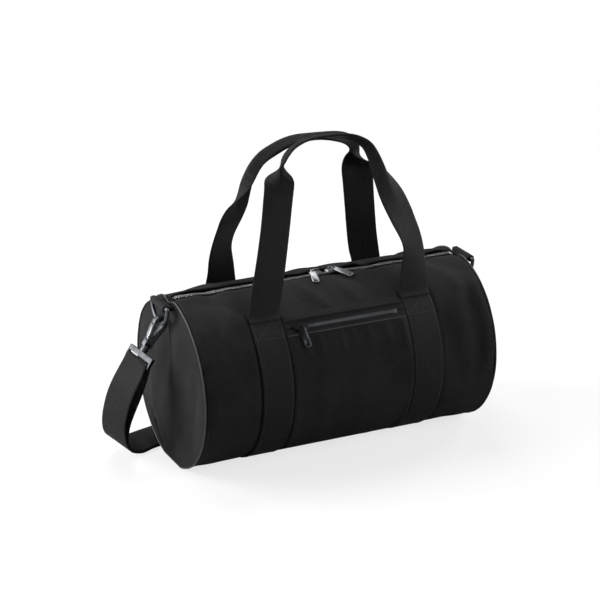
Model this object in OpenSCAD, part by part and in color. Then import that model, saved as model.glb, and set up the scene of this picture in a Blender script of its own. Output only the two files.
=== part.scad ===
/* [Bag body] */
// Length of the bag between its two end seams
bag_len = 364; // [300:1:460]
// Diameter of the round body
bag_d = 200; // [170:1:240]
// Depth by which the underside is pressed flat
foot_sink = 2; // [1:0.5:5]
// Thickness of the bag's fabric
fabric_t = 1.5; // [1:0.1:2.5]
// How far each end panel bulges outwards
end_bulge = 3; // [1:0.5:4]
// Height of the bound seam that stands inside each end
binding_w = 9; // [6:0.5:12]
// Thickness of the bound seam
binding_t = 2.4; // [1.6:0.1:4]

/* [Webbing] */
// Width of the bands, handles and shoulder strap
web_w = 38; // [30:1:42]
// Thickness of the webbing
web_t = 1.6; // [1:0.1:2.2]
// Distance of each band's centre from the middle of the bag
band_x = 94; // [86:1:110]

/* [Handles] */
// Angle from the top of the body at which the handles leave it
foot_angle = 35; // [28:1:38]
// Height of the grips above the handles' folds
handle_rise = 180; // [140:1:220]
// Width of a grip, where the webbing is folded in half
grip_w = 14; // [13:1:20]
// Thickness of a folded grip
grip_t = 3.2; // [2.4:0.1:5]
// Gap between the two grips where they meet at the top
grip_gap = 1; // [0.6:0.1:3]
// Distance of the line on which a handle folds from the band that it is sewn to
fold_r = 1.2; // [0.9:0.1:1.6]

/* [Zip fasteners] */
// Width of the main zip's chain
chain_w = 6.4; // [5.5:0.1:7]
// Thickness of the main zip's chain
chain_t = 2.8; // [2.2:0.1:3]
// Distance from one tooth of the main zip to the next
tooth_pitch = 2.6; // [2.2:0.1:3.5]
// Width of the pocket zip's chain
pocket_chain_w = 4.6; // [4:0.1:5]
// Thickness of the pocket zip's chain
pocket_chain_t = 2.2; // [1.8:0.1:2.4]
// Distance from one tooth of the pocket zip to the next
pocket_tooth_pitch = 2; // [1.8:0.1:2.5]
// Free width between the two rows of teeth, which the slider's post needs
row_gap = 1.5; // [1.4:0.1:1.8]
// Thickness of the zip tapes
tape_t = 0.8; // [0.5:0.1:1]
// Width of each main zip tape
tape_w = 14; // [12:0.5:18]
// Width of the slot that the main zip closes
slot_w = 13; // [12.4:0.1:16]
// Distance of each end of that slot from the end seam
slot_margin = 12; // [9:1:30]
// Distance of each end of the main zip's rows of teeth from the slot's end
chain_margin = 5; // [3:0.5:12]
// Length of a main zip slider
slider_len = 14; // [12:0.5:16]
// Width of a main zip slider
slider_w = 10.4; // [9.5:0.1:12]
// Length of the pocket zip slider
pocket_slider_len = 10; // [9:0.5:12]
// Width of the pocket zip slider
pocket_slider_w = 8; // [7.4:0.1:9]
// Thickness of a slider's plates
plate_t = 1.2; // [0.8:0.1:1.4]
// Height of the main sliders' bridges
bridge_h = 4.7; // [4.6:0.1:6]
// Height of the pocket slider's bridge
pocket_bridge_h = 4.2; // [4.1:0.1:5]
// Length of a zip pull
pull_len = 28; // [20:0.5:30]
// Width of a zip pull
pull_w = 8.6; // [7:0.1:10]
// Thickness of the zip pulls
pull_t = 1.2; // [0.9:0.1:1.3]

/* [Front pocket] */
// Angle from the top at which the pocket's upper fold ends
welt_angle = 42.5; // [41:0.5:44]
// Angle from the top of the pocket zip's chain
pocket_zip_angle = 47; // [46.5:0.5:48]
// Angle from the top at which the pocket panel begins
pocket_top_angle = 50.5; // [50:0.5:53]
// Angle from the top at which the pocket panel is sewn down
pocket_low_angle = 150; // [120:1:158]
// Distance of each end of the pocket zip's rows of teeth from the pocket's side
pocket_chain_margin = 14.7; // [13.7:0.1:30]
// Thickness of the pocket's fabric
pocket_t = 1; // [0.6:0.1:1.5]

/* [Rings and hooks] */
// Radius of the D-rings' wire
wire_r = 2.2; // [1.8:0.1:2.4]
// Distance of the rings' bars from the end seams
ring_out = 11; // [10.5:0.5:16]
// Depth of the rings' bars below the top of the bag
ring_drop = 6; // [5.8:0.1:10]
// Inner radius of a hook's crook
crook_in_r = 3.8; // [3.7:0.1:4.4]
// Outer radius of a hook's crook
crook_out_r = 8.4; // [7.6:0.1:8.6]
// Thickness of a hook's body
hook_t = 7.6; // [6.6:0.1:8]
// Length of a hook from its crook's centre to its base
hook_reach = 23; // [20:0.5:28]
// Radius of a hook's round collar
collar_r = 4.6; // [4.4:0.1:6]
// Length of a hook's round collar
collar_len = 7; // [6:0.5:9]
// Radius of the swivel stem
stem_r = 2; // [1.6:0.1:2.4]
// Outer width of a strap eye
eye_w = 42; // [41.5:0.5:48]
// Height of a strap eye's upper bar
eye_bar_h = 6; // [4:0.5:8]
// Thickness of a strap eye
eye_t = 4.4; // [3.6:0.1:6]
// Angle at which the left hook leans away from the bag
left_lean = 34; // [30:1:36]
// Angle at which the right hook leans away from the bag
right_lean = 8; // [6:1:12]

/* [Hidden] */
$fn = 96;

// Clearances and the overrun of every cut
sewn_gap = 0.15;
turn_gap = 0.3;
pin_gap = 0.05;
overrun = 1;

// Places of the body
body_r = bag_d / 2;
axis_z = body_r - foot_sink;
half_len = bag_len / 2;
top_z = axis_z + body_r;
panel_half = half_len - fabric_t;
bulge_steps = 8;

// Bands lie half sunk in the panel
band_sink = web_t / 2;
band_out_r = body_r + web_t - band_sink;

// Foot line and lean of the handles
fold_ring_r = band_out_r + turn_gap + fold_r;
foot_y = fold_ring_r * sin(foot_angle);
foot_z = axis_z + fold_ring_r * cos(foot_angle);
handle_lean = atan((foot_y - (grip_w + grip_gap) / 2) / handle_rise);
handle_reach = handle_rise / cos(handle_lean);
// Route of the front handle as shares of the feet's distance and of the rise
handle_route_shares = [[-1, 0], [-0.89, 0.16], [-0.805, 0.32], [-0.715, 0.5], [-0.635, 0.67],
    [-0.58, 0.79], [-0.53, 0.87], [-0.42, 0.935], [-0.23, 0.985], [0, 1], [0.22, 0.99],
    [0.4, 0.95], [0.55, 0.885], [0.67, 0.8], [0.775, 0.69], [0.87, 0.565], [0.965, 0.44],
    [1.045, 0.32], [1.055, 0.2], [1.02, 0.1], [1, 0]];
// Share of the quarter turn that the webbing has made at each point of that route
handle_twist_shares = [0, 0, 0, 0, 0.02, 0.2, 0.66, 1, 1, 1, 1, 0.95, 0.8, 0.55, 0.2, -0.05, -0.25,
    -0.33, -0.22, -0.07, 0];
// Share of the fold that narrows the webbing to the grip
handle_fold_shares = [0, 0, 0, 0, 0, 0, 0.4, 1, 1, 1, 1, 1, 0.85, 0.6, 0.3, 0.08, 0, 0, 0, 0, 0];
route_steps = 4;

// Main zip, measured from the body's axis to the middle of its tapes
zip_r = body_r - fabric_t - sewn_gap - tape_t / 2;
tape_half = panel_half - binding_t - sewn_gap;
slot_len = bag_len - 2 * slot_margin;
chain_len = slot_len - 2 * chain_margin;
stop_len = 4;
slider_left_x = -1;
slider_right_x = 19;
flange_t = 1.5;
post_len_share = 0.3;
nose_shares = [[-0.5, -0.36], [0.1, -0.5], [0.38, -0.5], [0.5, -0.3], [0.5, 0.3], [0.38, 0.5],
    [0.1, 0.5], [-0.5, 0.36]];
bridge_half = 3.4;
bridge_pin_r = 0.8;
bridge_bar_t = 1;
pull_ring_r = 3.1;
pull_hole_r = 1.5;
pull_lift = 2.2;
pull_slope = 11;
pull_turn_left = -16;
pull_turn_right = 32;
slot_end_gap = 1.7;
slot_end_w_share = 0.55;
slot_end_h_share = 0.32;

// Pocket zip
pocket_r = body_r + sewn_gap + tape_t / 2;
pocket_layer_r = body_r + tape_t + 2 * sewn_gap;
pocket_half = band_x - web_w / 2 - turn_gap;
pocket_chain_len = 2 * (pocket_half - pocket_chain_margin);
pocket_chain_x = 1;
pocket_slider_inset = 6;
pocket_slider_x = pocket_chain_x - pocket_chain_len / 2 + pocket_slider_inset;
pocket_pull_turn = 8;
pocket_plate_t = 1;
pocket_sink = pocket_chain_t / 2 + turn_gap + pocket_plate_t + turn_gap - sewn_gap - tape_t / 2;
sunk_half = pocket_chain_len / 2 + stop_len + 2 * turn_gap;
sunk_angle = 3.5;
welt_low_angle = 38;
tape_upper_angle = 38.5;
tape_lower_angle = 54;

// Rings, tabs and hooks
bow_gap = 1.1;
bow_r = web_w / 2 + bow_gap + wire_r;
ring_x = half_len + ring_out;
ring_z = top_z - ring_drop;
tab_roll_r = wire_r + turn_gap + web_t;
tab_end_gap = 0.6;
crook_z = ring_z - bow_r;
tip_angle = 205;
gate_t = 4.6;
gate_gap = 0.2;
leaf_t = 0.4;
leaf_share = 0.45;
gate_pin_r = 1;
gate_pin_x = -2.4;
gate_pin_z = -21;
fork_x = 1;
base_half = 5;
base_h = 6.5;
rivet_r = 3;
rivet_t = 1.6;
chamber_h = 2.4;
collar_groove = 0.4;
eye_side_t = (eye_w - web_w) / 2 - sewn_gap;
eye_low_bar_r = 2;
eye_window_h = 3.5;
eye_gap = 0.6;
spine_draft = 0.5;
crook_play = 0.8;
crook_hang = crook_in_r - wire_r - crook_play;
eye_drop = hook_reach + base_h + collar_len + eye_gap;
low_bar_drop = eye_drop + eye_bar_h + eye_window_h + eye_low_bar_r;
eye_turn_left = -74;
eye_turn_right = -90;
wrap_r = eye_low_bar_r + turn_gap + web_t / 2;
wrap_steps = 8;

// Route of the shoulder strap: share of the bag's half length, share of the strap's reach past it, share of
// the body's radius behind the axis, share of the eye bar's height, and the way the width points
strap_reach = 100;
strap_start_shares = [
    [-1, -0.47, -0.01, 0.918, [0.3, -0.94, -0.16]], [-1, -0.56, 0.03, 0.755, [0.36, -0.92, -0.05]],
    [-1, -0.615, 0.09, 0.584, [0.36, -0.92, 0.1]], [-1, -0.63, 0.17, 0.388, [0.3, -0.93, 0.18]],
    [-1, -0.58, 0.28, 0.2, [0.2, -0.95, 0.2]], [-1, -0.47, 0.38, 0.075, [0.05, -0.98, 0]],
    [-1, -0.3, 0.47, 0.015, [-0.15, -0.97, -0.12]], [-1, -0.1, 0.55, 0.004, [-0.25, -0.95, -0.12]],
    [-1, 0.17, 0.64, 0, [-0.25, -0.95, -0.12]], [-1, 0.48, 0.74, 0, [-0.2, -0.96, -0.08]]];
strap_end_shares = [
    [0.27, 0, 0.86, 0, [0, -1, 0]], [0.5, 0, 0.83, 0, [0.1, -0.97, -0.08]],
    [1, -0.5, 0.76, 0, [0.2, -0.96, -0.12]], [1, -0.16, 0.68, 0, [0.2, -0.96, -0.12]],
    [1, 0.11, 0.61, 0.02, [0.15, -0.97, -0.15]], [1, 0.3, 0.52, 0.128, [0.05, -1, -0.05]],
    [1, 0.39, 0.41, 0.322, [0, -1, 0]], [1, 0.37, 0.26, 0.551, [0, -1, 0]],
    [1, 0.29, 0.11, 0.771, [0, -1, 0]], [1, 0.23, 0.02, 0.912, [0, -1, 0]]];
strap_lift = 4;
layer_step = web_t + sewn_gap;
// Distance of the strap's returning layer from the main one at each point, as shares of the webbing's
// thickness
return_gap_shares = [5.6, 8.1, 7.5, 4.4, 1.6, 1.25, 1.25, 1.25, 1.25, 1.25, 1.25, 1.25, 1.25, 1.25];
// The ladder adjuster that joins the returning layer to the strap
adjuster_x_share = -0.64;
adjuster_y_share = 0.84;
adjuster_len = 30;
adjuster_bar_r = 1.7;
adjuster_side_t = 3.2;
adjuster_half = adjuster_len / 2 - adjuster_bar_r;
bar_seat = adjuster_bar_r + sewn_gap + web_t / 2;
adjuster_z = turn_gap + web_t / 2 + layer_step + bar_seat;
adjuster_shares = [-4.2, -3, -2.2, -1.55, -1, -0.5, 0, 0.5, 1, 1.55, 2.2, 3, 4.2];
adjuster_drop_shares = [0.45, 0.6, 0.8, 0.97, 1, 0.48, 0, 0.48, 1, 0.97, 0.8, 0.6, 0.5];
adjuster_tail_shares = [[-0.2, -0.74], [-0.4, 0.14]];
sewn_end_points = 4;

// Small functions for directions and routes
function unit(v) = v / norm(v);
function turn_y(a, v) = [v.x * cos(a) + v.z * sin(a), v.y, -v.x * sin(a) + v.z * cos(a)];
function spline(a, b, c, d, t) = b + t * (c - a) / 2 + t * t * (2 * a - 5 * b + 4 * c - d) / 2
    + t * t * t * (3 * b - a - 3 * c + d) / 2;
function pick(list, i) = list[max(0, min(len(list) - 1, i))];
function smooth(list, steps) = [
    for (i = [0 : len(list) - 2]) for (k = [0 : steps - 1])
        spline(pick(list, i - 1), list[i], list[i + 1], pick(list, i + 2), k / steps),
    list[len(list) - 1]];
function heading(list, i) = unit(pick(list, i + 1) - pick(list, i - 1));
// A band's station holds its point, the way its width points, its normal, its width and its thickness
function squared(w, t) = unit(w - t * (w * t));
function station(p, t, w, width, thick) = [p, squared(w, t), cross(t, squared(w, t)), width, thick];
function corners(s) = [
    s[0] + s[1] * s[3] / 2 + s[2] * s[4] / 2, s[0] - s[1] * s[3] / 2 + s[2] * s[4] / 2,
    s[0] - s[1] * s[3] / 2 - s[2] * s[4] / 2, s[0] + s[1] * s[3] / 2 - s[2] * s[4] / 2];

// A flat strip of webbing swept through a list of stations
module webbing(stations) {
    last = len(stations) - 1;
    points = [for (s = stations) each corners(s)];
    // Both wide faces are split along the same diagonal, so that a turn can't push one through the other
    sides = [for (i = [0 : last - 1]) for (k = [0 : 3])
        let (a = 4 * i + k, b = 4 * i + (k + 1) % 4)
            each k == 2 ? [[a, b, a + 4], [b, b + 4, a + 4]] : [[a, b, b + 4], [a, b + 4, a + 4]]];
    ends = [[2, 1, 0], [3, 2, 0], [4 * last, 4 * last + 1, 4 * last + 2],
        [4 * last, 4 * last + 2, 4 * last + 3]];
    polyhedron(points, concat(sides, ends));
}

// Cross-section of the round body with its underside pressed flat
module round_section(r, floor_z) {
    intersection() {
        translate([0, axis_z]) circle(r);
        translate([-r, floor_z]) square([2 * r, 2 * r + foot_sink]);
    }
}

// A length of the round body along the bag
module round_bar(x0, x1, r, floor_z) {
    translate([x0, 0, 0]) rotate([90, 0, 90]) linear_extrude(x1 - x0) round_section(r, floor_z);
}

// A curved sheet round the body's axis, with angles counted from the top towards the front
module curved_sheet(r0, r1, a0, a1, x0, x1) {
    translate([0, 0, axis_z]) rotate([0, 90, 0]) rotate([0, 0, 180 + a0])
        rotate_extrude(angle = a1 - a0) translate([r0, x0]) square([r1 - r0, x1 - x0]);
}

// Moves what is drawn at the origin out to a radius and an angle on the body
module on_body(r, a) {
    translate([0, 0, axis_z]) rotate([a, 0, 0]) translate([0, 0, r]) children();
}

module on_side(side) {
    if (side < 0) children();
    else mirror([1, 0, 0]) children();
}

// Outline of a band that starts at an angle on the front and runs under the body to the same angle behind
module band_outline(out_r, out_floor, in_r, in_floor, from) {
    reach = bag_d * [sin(from), cos(from)];
    difference() {
        round_section(out_r, out_floor);
        round_section(in_r, in_floor);
        polygon([[0, axis_z], [-reach.x, axis_z + reach.y], [reach.x, axis_z + reach.y]]);
    }
}

module band_seats(r, floor_z, half, from) {
    for (side = [-1, 1]) translate([side * band_x - half, 0, 0]) rotate([90, 0, 90])
        linear_extrude(2 * half) band_outline(body_r + overrun, -overrun, r, floor_z, from);
}

module sunk_zone(r, half, a) {
    curved_sheet(r, body_r + overrun, pocket_zip_angle - a, pocket_zip_angle + a,
        pocket_chain_x - half, pocket_chain_x + half);
}

module main_panel() {
    seat_half = web_w / 2 + sewn_gap;
    seat_r = body_r - band_sink - sewn_gap;
    seat_floor = web_t + sewn_gap;
    wall_angle = asin(fabric_t / body_r);
    gap_angle = asin(sewn_gap / body_r);
    color("#242426") difference() {
        round_bar(-panel_half, panel_half, body_r, 0);
        band_seats(seat_r, seat_floor, seat_half, foot_angle - gap_angle);
        sunk_zone(body_r - pocket_sink, sunk_half, sunk_angle);
        difference() {
            round_bar(-panel_half - overrun, panel_half + overrun, body_r - fabric_t, fabric_t);
            band_seats(seat_r - fabric_t, seat_floor + fabric_t, seat_half + fabric_t,
                foot_angle - gap_angle - wall_angle);
            sunk_zone(body_r - pocket_sink - fabric_t, sunk_half + fabric_t, sunk_angle + wall_angle);
        }
        translate([-slot_len / 2, -slot_w / 2, top_z - 2 * fabric_t])
            cube([slot_len, slot_w, 2 * fabric_t + overrun]);
    }
}

module end_panel(side) {
    radii = [for (i = [0 : bulge_steps]) body_r * i / bulge_steps];
    outer = [for (r = radii) [r, end_bulge * (1 - pow(r / body_r, 2))]];
    inner = [for (i = [bulge_steps : -1 : 0]) outer[i] - [0, fabric_t]];
    color("#2e2e30") on_side(side) intersection() {
        translate([-half_len, 0, axis_z]) rotate([0, -90, 0]) rotate_extrude() polygon(concat(outer, inner));
        round_bar(-half_len - end_bulge - overrun, -half_len + fabric_t + overrun, body_r + overrun, 0);
    }
}

module seam_binding(side) {
    lip_r = body_r - fabric_t - sewn_gap;
    lip_z = fabric_t + sewn_gap;
    color("#161617") on_side(side) difference() {
        round_bar(-panel_half, -panel_half + binding_t, lip_r, lip_z);
        round_bar(-panel_half - overrun, -panel_half + binding_t + overrun, lip_r - binding_w, lip_z + binding_w);
    }
}

module band(side) {
    color("#1c1c1d") translate([side * band_x - web_w / 2, 0, 0]) rotate([90, 0, 90]) linear_extrude(web_w)
        band_outline(band_out_r, 0, body_r - band_sink, web_t, foot_angle);
}

module zip_tape(from, to) {
    color("#101011") curved_sheet(zip_r - tape_t / 2, zip_r + tape_t / 2, from, to, -tape_half, tape_half);
}

// One row of teeth: a rail with square teeth on its inner side, its middle height at zero
module teeth_row(len, pitch, width, thick, shift) {
    tooth = pitch / 2;
    rail_y = width / 2 - (width - row_gap) / 4;
    count = floor(len / pitch) - 1;
    edge = [for (i = [0 : count - 1]) let (x = -len / 2 + shift + i * pitch)
        each [[x, rail_y], [x, row_gap / 2], [x + tooth, row_gap / 2], [x + tooth, rail_y]]];
    translate([0, 0, -thick / 2]) linear_extrude(thick)
        polygon(concat([[-len / 2, width / 2], [-len / 2, rail_y]], edge,
            [[len / 2, rail_y], [len / 2, width / 2]]));
}

module zip_teeth(side) {
    color("#b4b6b8") on_body(zip_r, 0) mirror([0, side < 0 ? 1 : 0, 0])
        teeth_row(chain_len, tooth_pitch, chain_w, chain_t, (2 + side) * tooth_pitch / 4);
}

// A pair of metal stops, one past each end of a chain
module stops(len, width, thick) {
    for (side = [-1, 1]) translate([side * (len + stop_len) / 2 + side * sewn_gap, 0, 0])
        linear_extrude(thick, center = true) square([stop_len, width], center = true);
}

module zip_stops() {
    color("#b4b6b8") on_body(zip_r, 0) stops(chain_len, chain_w, chain_t);
}

// A slider round a chain: two shield plates, side flanges, the wedge post and the bridge, nose towards +X
module slider(length, width, chain, thick, plate, bridge) {
    shield = [for (p = nose_shares) [p.x * length, p.y * width]];
    inner_half = chain / 2 + turn_gap;
    clear_h = thick / 2 + turn_gap;
    flange_h = clear_h - tape_t / 2 - turn_gap;
    for (up = [0, 1]) mirror([0, 0, up]) {
        translate([0, 0, clear_h]) linear_extrude(plate) polygon(shield);
        translate([0, 0, clear_h - flange_h]) linear_extrude(flange_h + plate) intersection() {
            polygon(shield);
            for (side = [0, 1]) mirror([0, side, 0])
                translate([-length / 2, inner_half]) square([length, width]);
        }
    }
    post_w = row_gap - 2 * turn_gap;
    translate([length / 2 - length * post_len_share, -post_w / 2, -clear_h - plate / 2])
        cube([length * post_len_share - plate / 2, post_w, 2 * clear_h + plate]);
    for (x = [-bridge_half, bridge_half]) translate([x, 0, clear_h + plate / 2])
        cylinder(r = bridge_pin_r, h = bridge + plate / 2 - bridge_bar_t / 2);
    translate([0, 0, clear_h + plate + bridge - bridge_bar_t]) linear_extrude(bridge_bar_t) {
        square([2 * bridge_half, 2 * bridge_pin_r], center = true);
        for (x = [-bridge_half, bridge_half]) translate([x, 0]) circle(bridge_pin_r);
    }
}

module main_slider() {
    slider(slider_len, slider_w, chain_w, chain_t, plate_t, bridge_h);
}

module zip_slider_left() {
    color("#8e9093") on_body(zip_r, 0) translate([slider_left_x, 0, 0]) main_slider();
}

module zip_slider_right() {
    color("#8e9093") on_body(zip_r, 0) translate([slider_right_x, 0, 0]) mirror([1, 0, 0]) main_slider();
}

// A flat pull from the hole round the bridge's pin, at the origin, to its slotted end towards -Y
module pull() {
    half_w = pull_w / 2;
    tip_y = pull_ring_r - pull_len;
    slot_w_half = half_w * slot_end_w_share;
    slot_h = pull_w * slot_end_h_share;
    shoulder_y = -pull_ring_r - half_w / 2;
    corner = half_w / 3;
    translate([0, 0, -pull_t / 2]) linear_extrude(pull_t) difference() {
        union() {
            circle(pull_ring_r);
            polygon([[-pull_ring_r, 0], [-half_w, shoulder_y], [-half_w, tip_y + corner],
                [corner - half_w, tip_y], [half_w - corner, tip_y], [half_w, tip_y + corner],
                [half_w, shoulder_y], [pull_ring_r, 0]]);
        }
        circle(pull_hole_r);
        translate([0, tip_y + slot_end_gap + slot_h / 2]) {
            square([2 * slot_w_half - slot_h, slot_h], center = true);
            for (side = [-1, 1]) translate([side * (slot_w_half - slot_h / 2), 0]) circle(slot_h / 2);
        }
    }
}

module main_pull(pin_x, turn) {
    pin_z = chain_t / 2 + turn_gap + plate_t + pull_lift;
    color("#a6a8ab") on_body(zip_r, 0) translate([pin_x, 0, pin_z]) rotate([pull_slope, 0, 0])
        rotate([0, 0, turn]) pull();
}

module zip_pull_left() {
    main_pull(slider_left_x - bridge_half, pull_turn_left);
}

module zip_pull_right() {
    main_pull(slider_right_x + bridge_half, pull_turn_right);
}

module pocket_panel() {
    color("#202022") curved_sheet(pocket_layer_r, pocket_layer_r + pocket_t, pocket_top_angle,
        pocket_low_angle, -pocket_half, pocket_half);
}

module pocket_welt() {
    color("#222224") curved_sheet(pocket_layer_r, pocket_layer_r + pocket_t, welt_low_angle, welt_angle,
        -pocket_half, pocket_half);
}

module pocket_tape(from, to) {
    color("#101011") curved_sheet(pocket_r - tape_t / 2, pocket_r + tape_t / 2, from, to,
        -pocket_half, pocket_half);
}

module pocket_teeth(side) {
    color("#8b8d90") on_body(pocket_r, pocket_zip_angle) translate([pocket_chain_x, 0, 0])
        mirror([0, side < 0 ? 1 : 0, 0])
            teeth_row(pocket_chain_len, pocket_tooth_pitch, pocket_chain_w, pocket_chain_t,
                (2 + side) * pocket_tooth_pitch / 4);
}

module pocket_zip_stops() {
    color("#8b8d90") on_body(pocket_r, pocket_zip_angle) translate([pocket_chain_x, 0, 0])
        stops(pocket_chain_len, pocket_chain_w, pocket_chain_t);
}

module pocket_zip_slider() {
    color("#8e9093") on_body(pocket_r, pocket_zip_angle) translate([pocket_slider_x, 0, 0])
        slider(pocket_slider_len, pocket_slider_w, pocket_chain_w, pocket_chain_t, pocket_plate_t,
            pocket_bridge_h);
}

module pocket_zip_pull() {
    pin_z = pocket_chain_t / 2 + turn_gap + pocket_plate_t + pull_lift;
    color("#a6a8ab") on_body(pocket_r, pocket_zip_angle) translate([pocket_slider_x - bridge_half, 0, pin_z])
        rotate([pull_slope, 0, 0]) rotate([0, 0, pocket_pull_turn]) pull();
}

// The front handle in its own leaning plane, swept from the left foot over the grip to the right foot
module handle() {
    up = [0, sin(handle_lean), cos(handle_lean)];
    out = [0, -cos(handle_lean), sin(handle_lean)];
    foot = [0, -foot_y, foot_z];
    shares = smooth(handle_route_shares, route_steps);
    twists = smooth(handle_twist_shares, route_steps);
    folds = smooth(handle_fold_shares, route_steps);
    last = len(shares) - 1;
    flat = [for (s = shares) [band_x * s.x, handle_reach * s.y]];
    stations = [for (i = [0 : last])
        let (t = i == 0 ? [0, 1] : i == last ? [0, -1] : heading(flat, i),
            side = [t.y, 0, 0] - up * t.x,
            turn = 90 * max(-1, min(1, twists[i])),
            share = max(0, min(1, folds[i])))
            [foot + [flat[i].x, 0, 0] + up * flat[i].y,
                side * cos(turn) - out * sin(turn), out * cos(turn) + side * sin(turn),
                web_w + (grip_w - web_w) * share, web_t + (grip_t - web_t) * share]];
    webbing(stations);
}

module handle_front() {
    color("#1f1f21") handle();
}

module handle_rear() {
    color("#1f1f21") rotate([0, 0, 180]) handle();
}

module ring_tab(side) {
    loop_r = tab_roll_r - web_t;
    color("#1c1c1d") on_side(side) translate([-ring_x, 0, ring_z]) rotate([90, 0, 0])
        linear_extrude(web_w, center = true) difference() {
            union() {
                circle(tab_roll_r);
                translate([0, tab_roll_r - 2 * web_t]) square([ring_out - tab_end_gap, 2 * web_t]);
            }
            circle(loop_r);
        }
}

module d_ring(side) {
    color("#3c3d40") on_side(side) translate([-ring_x, 0, ring_z]) {
        rotate([90, 0, 0]) cylinder(r = wire_r, h = 2 * bow_r, center = true);
        rotate([0, 90, 0]) rotate([0, 0, -90]) rotate_extrude(angle = 180) translate([bow_r, 0]) circle(wire_r);
        for (end = [-1, 1]) translate([0, end * bow_r, 0]) sphere(wire_r);
    }
}

// Moves what is drawn round a crook's centre, hanging straight down, to the hook on that side
module on_hook(side) {
    lean = side < 0 ? left_lean : right_lean;
    on_side(side) translate([-ring_x, 0, crook_z]) rotate([0, lean, 0]) translate([0, 0, -crook_hang]) children();
}

// Side outline of the crook and spine, with the tip on the side away from the bag
module hook_outline() {
    tip = [cos(tip_angle), sin(tip_angle)];
    cheek_z = gate_pin_z + base_half / 2;
    difference() {
        circle(crook_out_r);
        circle(crook_in_r);
        polygon([[0, 0], tip * 2 * crook_out_r, [-crook_out_r, -2 * crook_out_r], [crook_in_r, -2 * crook_out_r],
            [crook_in_r, 0]]);
    }
    polygon([[crook_in_r, 0], [crook_out_r, 0], [crook_out_r - spine_draft, -crook_out_r / 2],
        [base_half, -hook_reach], [-base_half, -hook_reach], [-base_half, cheek_z],
        [base_half / 4, cheek_z], [crook_in_r - spine_draft, -crook_out_r]]);
    translate([-base_half, -hook_reach - base_h]) square([2 * base_half, base_h]);
}

module hook_body(side) {
    slot_t = gate_t + 2 * gate_gap;
    chamber_z = -hook_reach - base_h + chamber_h;
    color("#35363a") on_hook(side) difference() {
        union() {
            rotate([90, 0, 0]) linear_extrude(hook_t, center = true) hook_outline();
            translate([0, 0, -hook_reach - base_h - collar_len]) cylinder(r = collar_r, h = collar_len + overrun);
        }
        translate([-base_half - overrun, -slot_t / 2, -hook_reach])
            cube([base_half + 2 * overrun + fork_x, slot_t, base_half]);
        translate([gate_pin_x, 0, gate_pin_z]) rotate([90, 0, 0])
            cylinder(r = gate_pin_r, h = hook_t + 2 * overrun, center = true);
        translate([-rivet_r - turn_gap, -hook_t, chamber_z - chamber_h / 2])
            cube([2 * (rivet_r + turn_gap), 2 * hook_t, chamber_h]);
        translate([0, 0, -hook_reach - base_h - collar_len - overrun])
            cylinder(r = stem_r + turn_gap, h = collar_len + overrun + chamber_h);
        for (i = [1 : 3]) translate([0, 0, -hook_reach - base_h - collar_len * i / 4])
            rotate_extrude() translate([collar_r - collar_groove, -collar_groove]) square(2 * collar_groove);
    }
}

// Side outline of the gate: a plate that closes the crook, and its narrower foot round the pin
module gate_outline() {
    tip = crook_in_r + gate_gap;
    polygon([[-crook_out_r, -tip - gate_gap], [-crook_in_r, -tip - gate_gap],
        [gate_pin_x + 2 * gate_pin_r, gate_pin_z + gate_pin_r],
        [gate_pin_x + 2 * gate_pin_r, gate_pin_z - gate_pin_r / 2],
        [-base_half + gate_gap, gate_pin_z - gate_pin_r / 2], [-base_half - gate_gap, gate_pin_z + gate_pin_r]]);
}

module hook_gate(side) {
    plate_z = gate_pin_z + base_half / 2 + gate_pin_r;
    color("#6d6f73") on_hook(side) rotate([90, 0, 0]) {
        linear_extrude(gate_t, center = true) difference() {
            gate_outline();
            translate([gate_pin_x, gate_pin_z]) circle(gate_pin_r + pin_gap);
        }
        linear_extrude(hook_t, center = true) intersection() {
            gate_outline();
            translate([-2 * crook_out_r, plate_z]) square(4 * crook_out_r);
        }
    }
}

module gate_pin(side) {
    color("#55575b") on_hook(side) translate([gate_pin_x, 0, gate_pin_z]) rotate([90, 0, 0])
        cylinder(r = gate_pin_r, h = hook_t, center = true);
}

// A bent leaf that lies along the back of the gate and bears on the hook's base
module gate_spring(side) {
    low = [gate_pin_x + 2 * gate_pin_r + gate_gap, gate_pin_z + gate_pin_r];
    high = [gate_gap - crook_in_r, -crook_in_r - 2 * gate_gap];
    top = low + (high - low) * leaf_share;
    thick = [leaf_t, 0];
    drop = [0, 2 * gate_pin_r];
    color("#8e9093") on_hook(side) rotate([90, 0, 0]) linear_extrude(gate_t / 2, center = true)
        polygon([low - drop, low, top, top + thick, low + thick, low + thick - drop]);
}

module strap_eye(side) {
    turn = side < 0 ? eye_turn_left : eye_turn_right;
    frame_h = low_bar_drop - eye_drop;
    stem_top = -hook_reach - base_h + chamber_h;
    color("#4a4b4f") on_hook(side) rotate([0, 0, side < 0 ? turn : -turn]) {
        translate([-eye_w / 2, -eye_t / 2, -eye_drop - eye_bar_h]) cube([eye_w, eye_t, eye_bar_h]);
        for (end = [-1, 1]) translate([end * (eye_w - eye_side_t) / 2, 0, -low_bar_drop + frame_h / 2])
            cube([eye_side_t, eye_t, frame_h], center = true);
        translate([0, 0, -low_bar_drop]) rotate([0, 90, 0])
            cylinder(r = eye_low_bar_r, h = eye_w, center = true);
        translate([0, 0, -eye_drop - eye_bar_h / 2]) cylinder(r = stem_r, h = stem_top + eye_drop + eye_bar_h / 2);
        translate([0, 0, stem_top - rivet_t / 2]) cylinder(r = rivet_r, h = rivet_t);
    }
}

// Frames of the two lower eye bars: centre, way of the width, way out from the bag and way up the hook
function bar_frame(side) =
    let (lean = side < 0 ? left_lean : -right_lean, turn = side < 0 ? eye_turn_left : eye_turn_right,
        up = turn_y(lean, [0, 0, 1]), w = turn_y(lean, [cos(turn), sin(turn), 0]))
        [[side * ring_x, 0, crook_z] - up * (low_bar_drop + crook_hang), w, side * cross(up, w), up];

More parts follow.
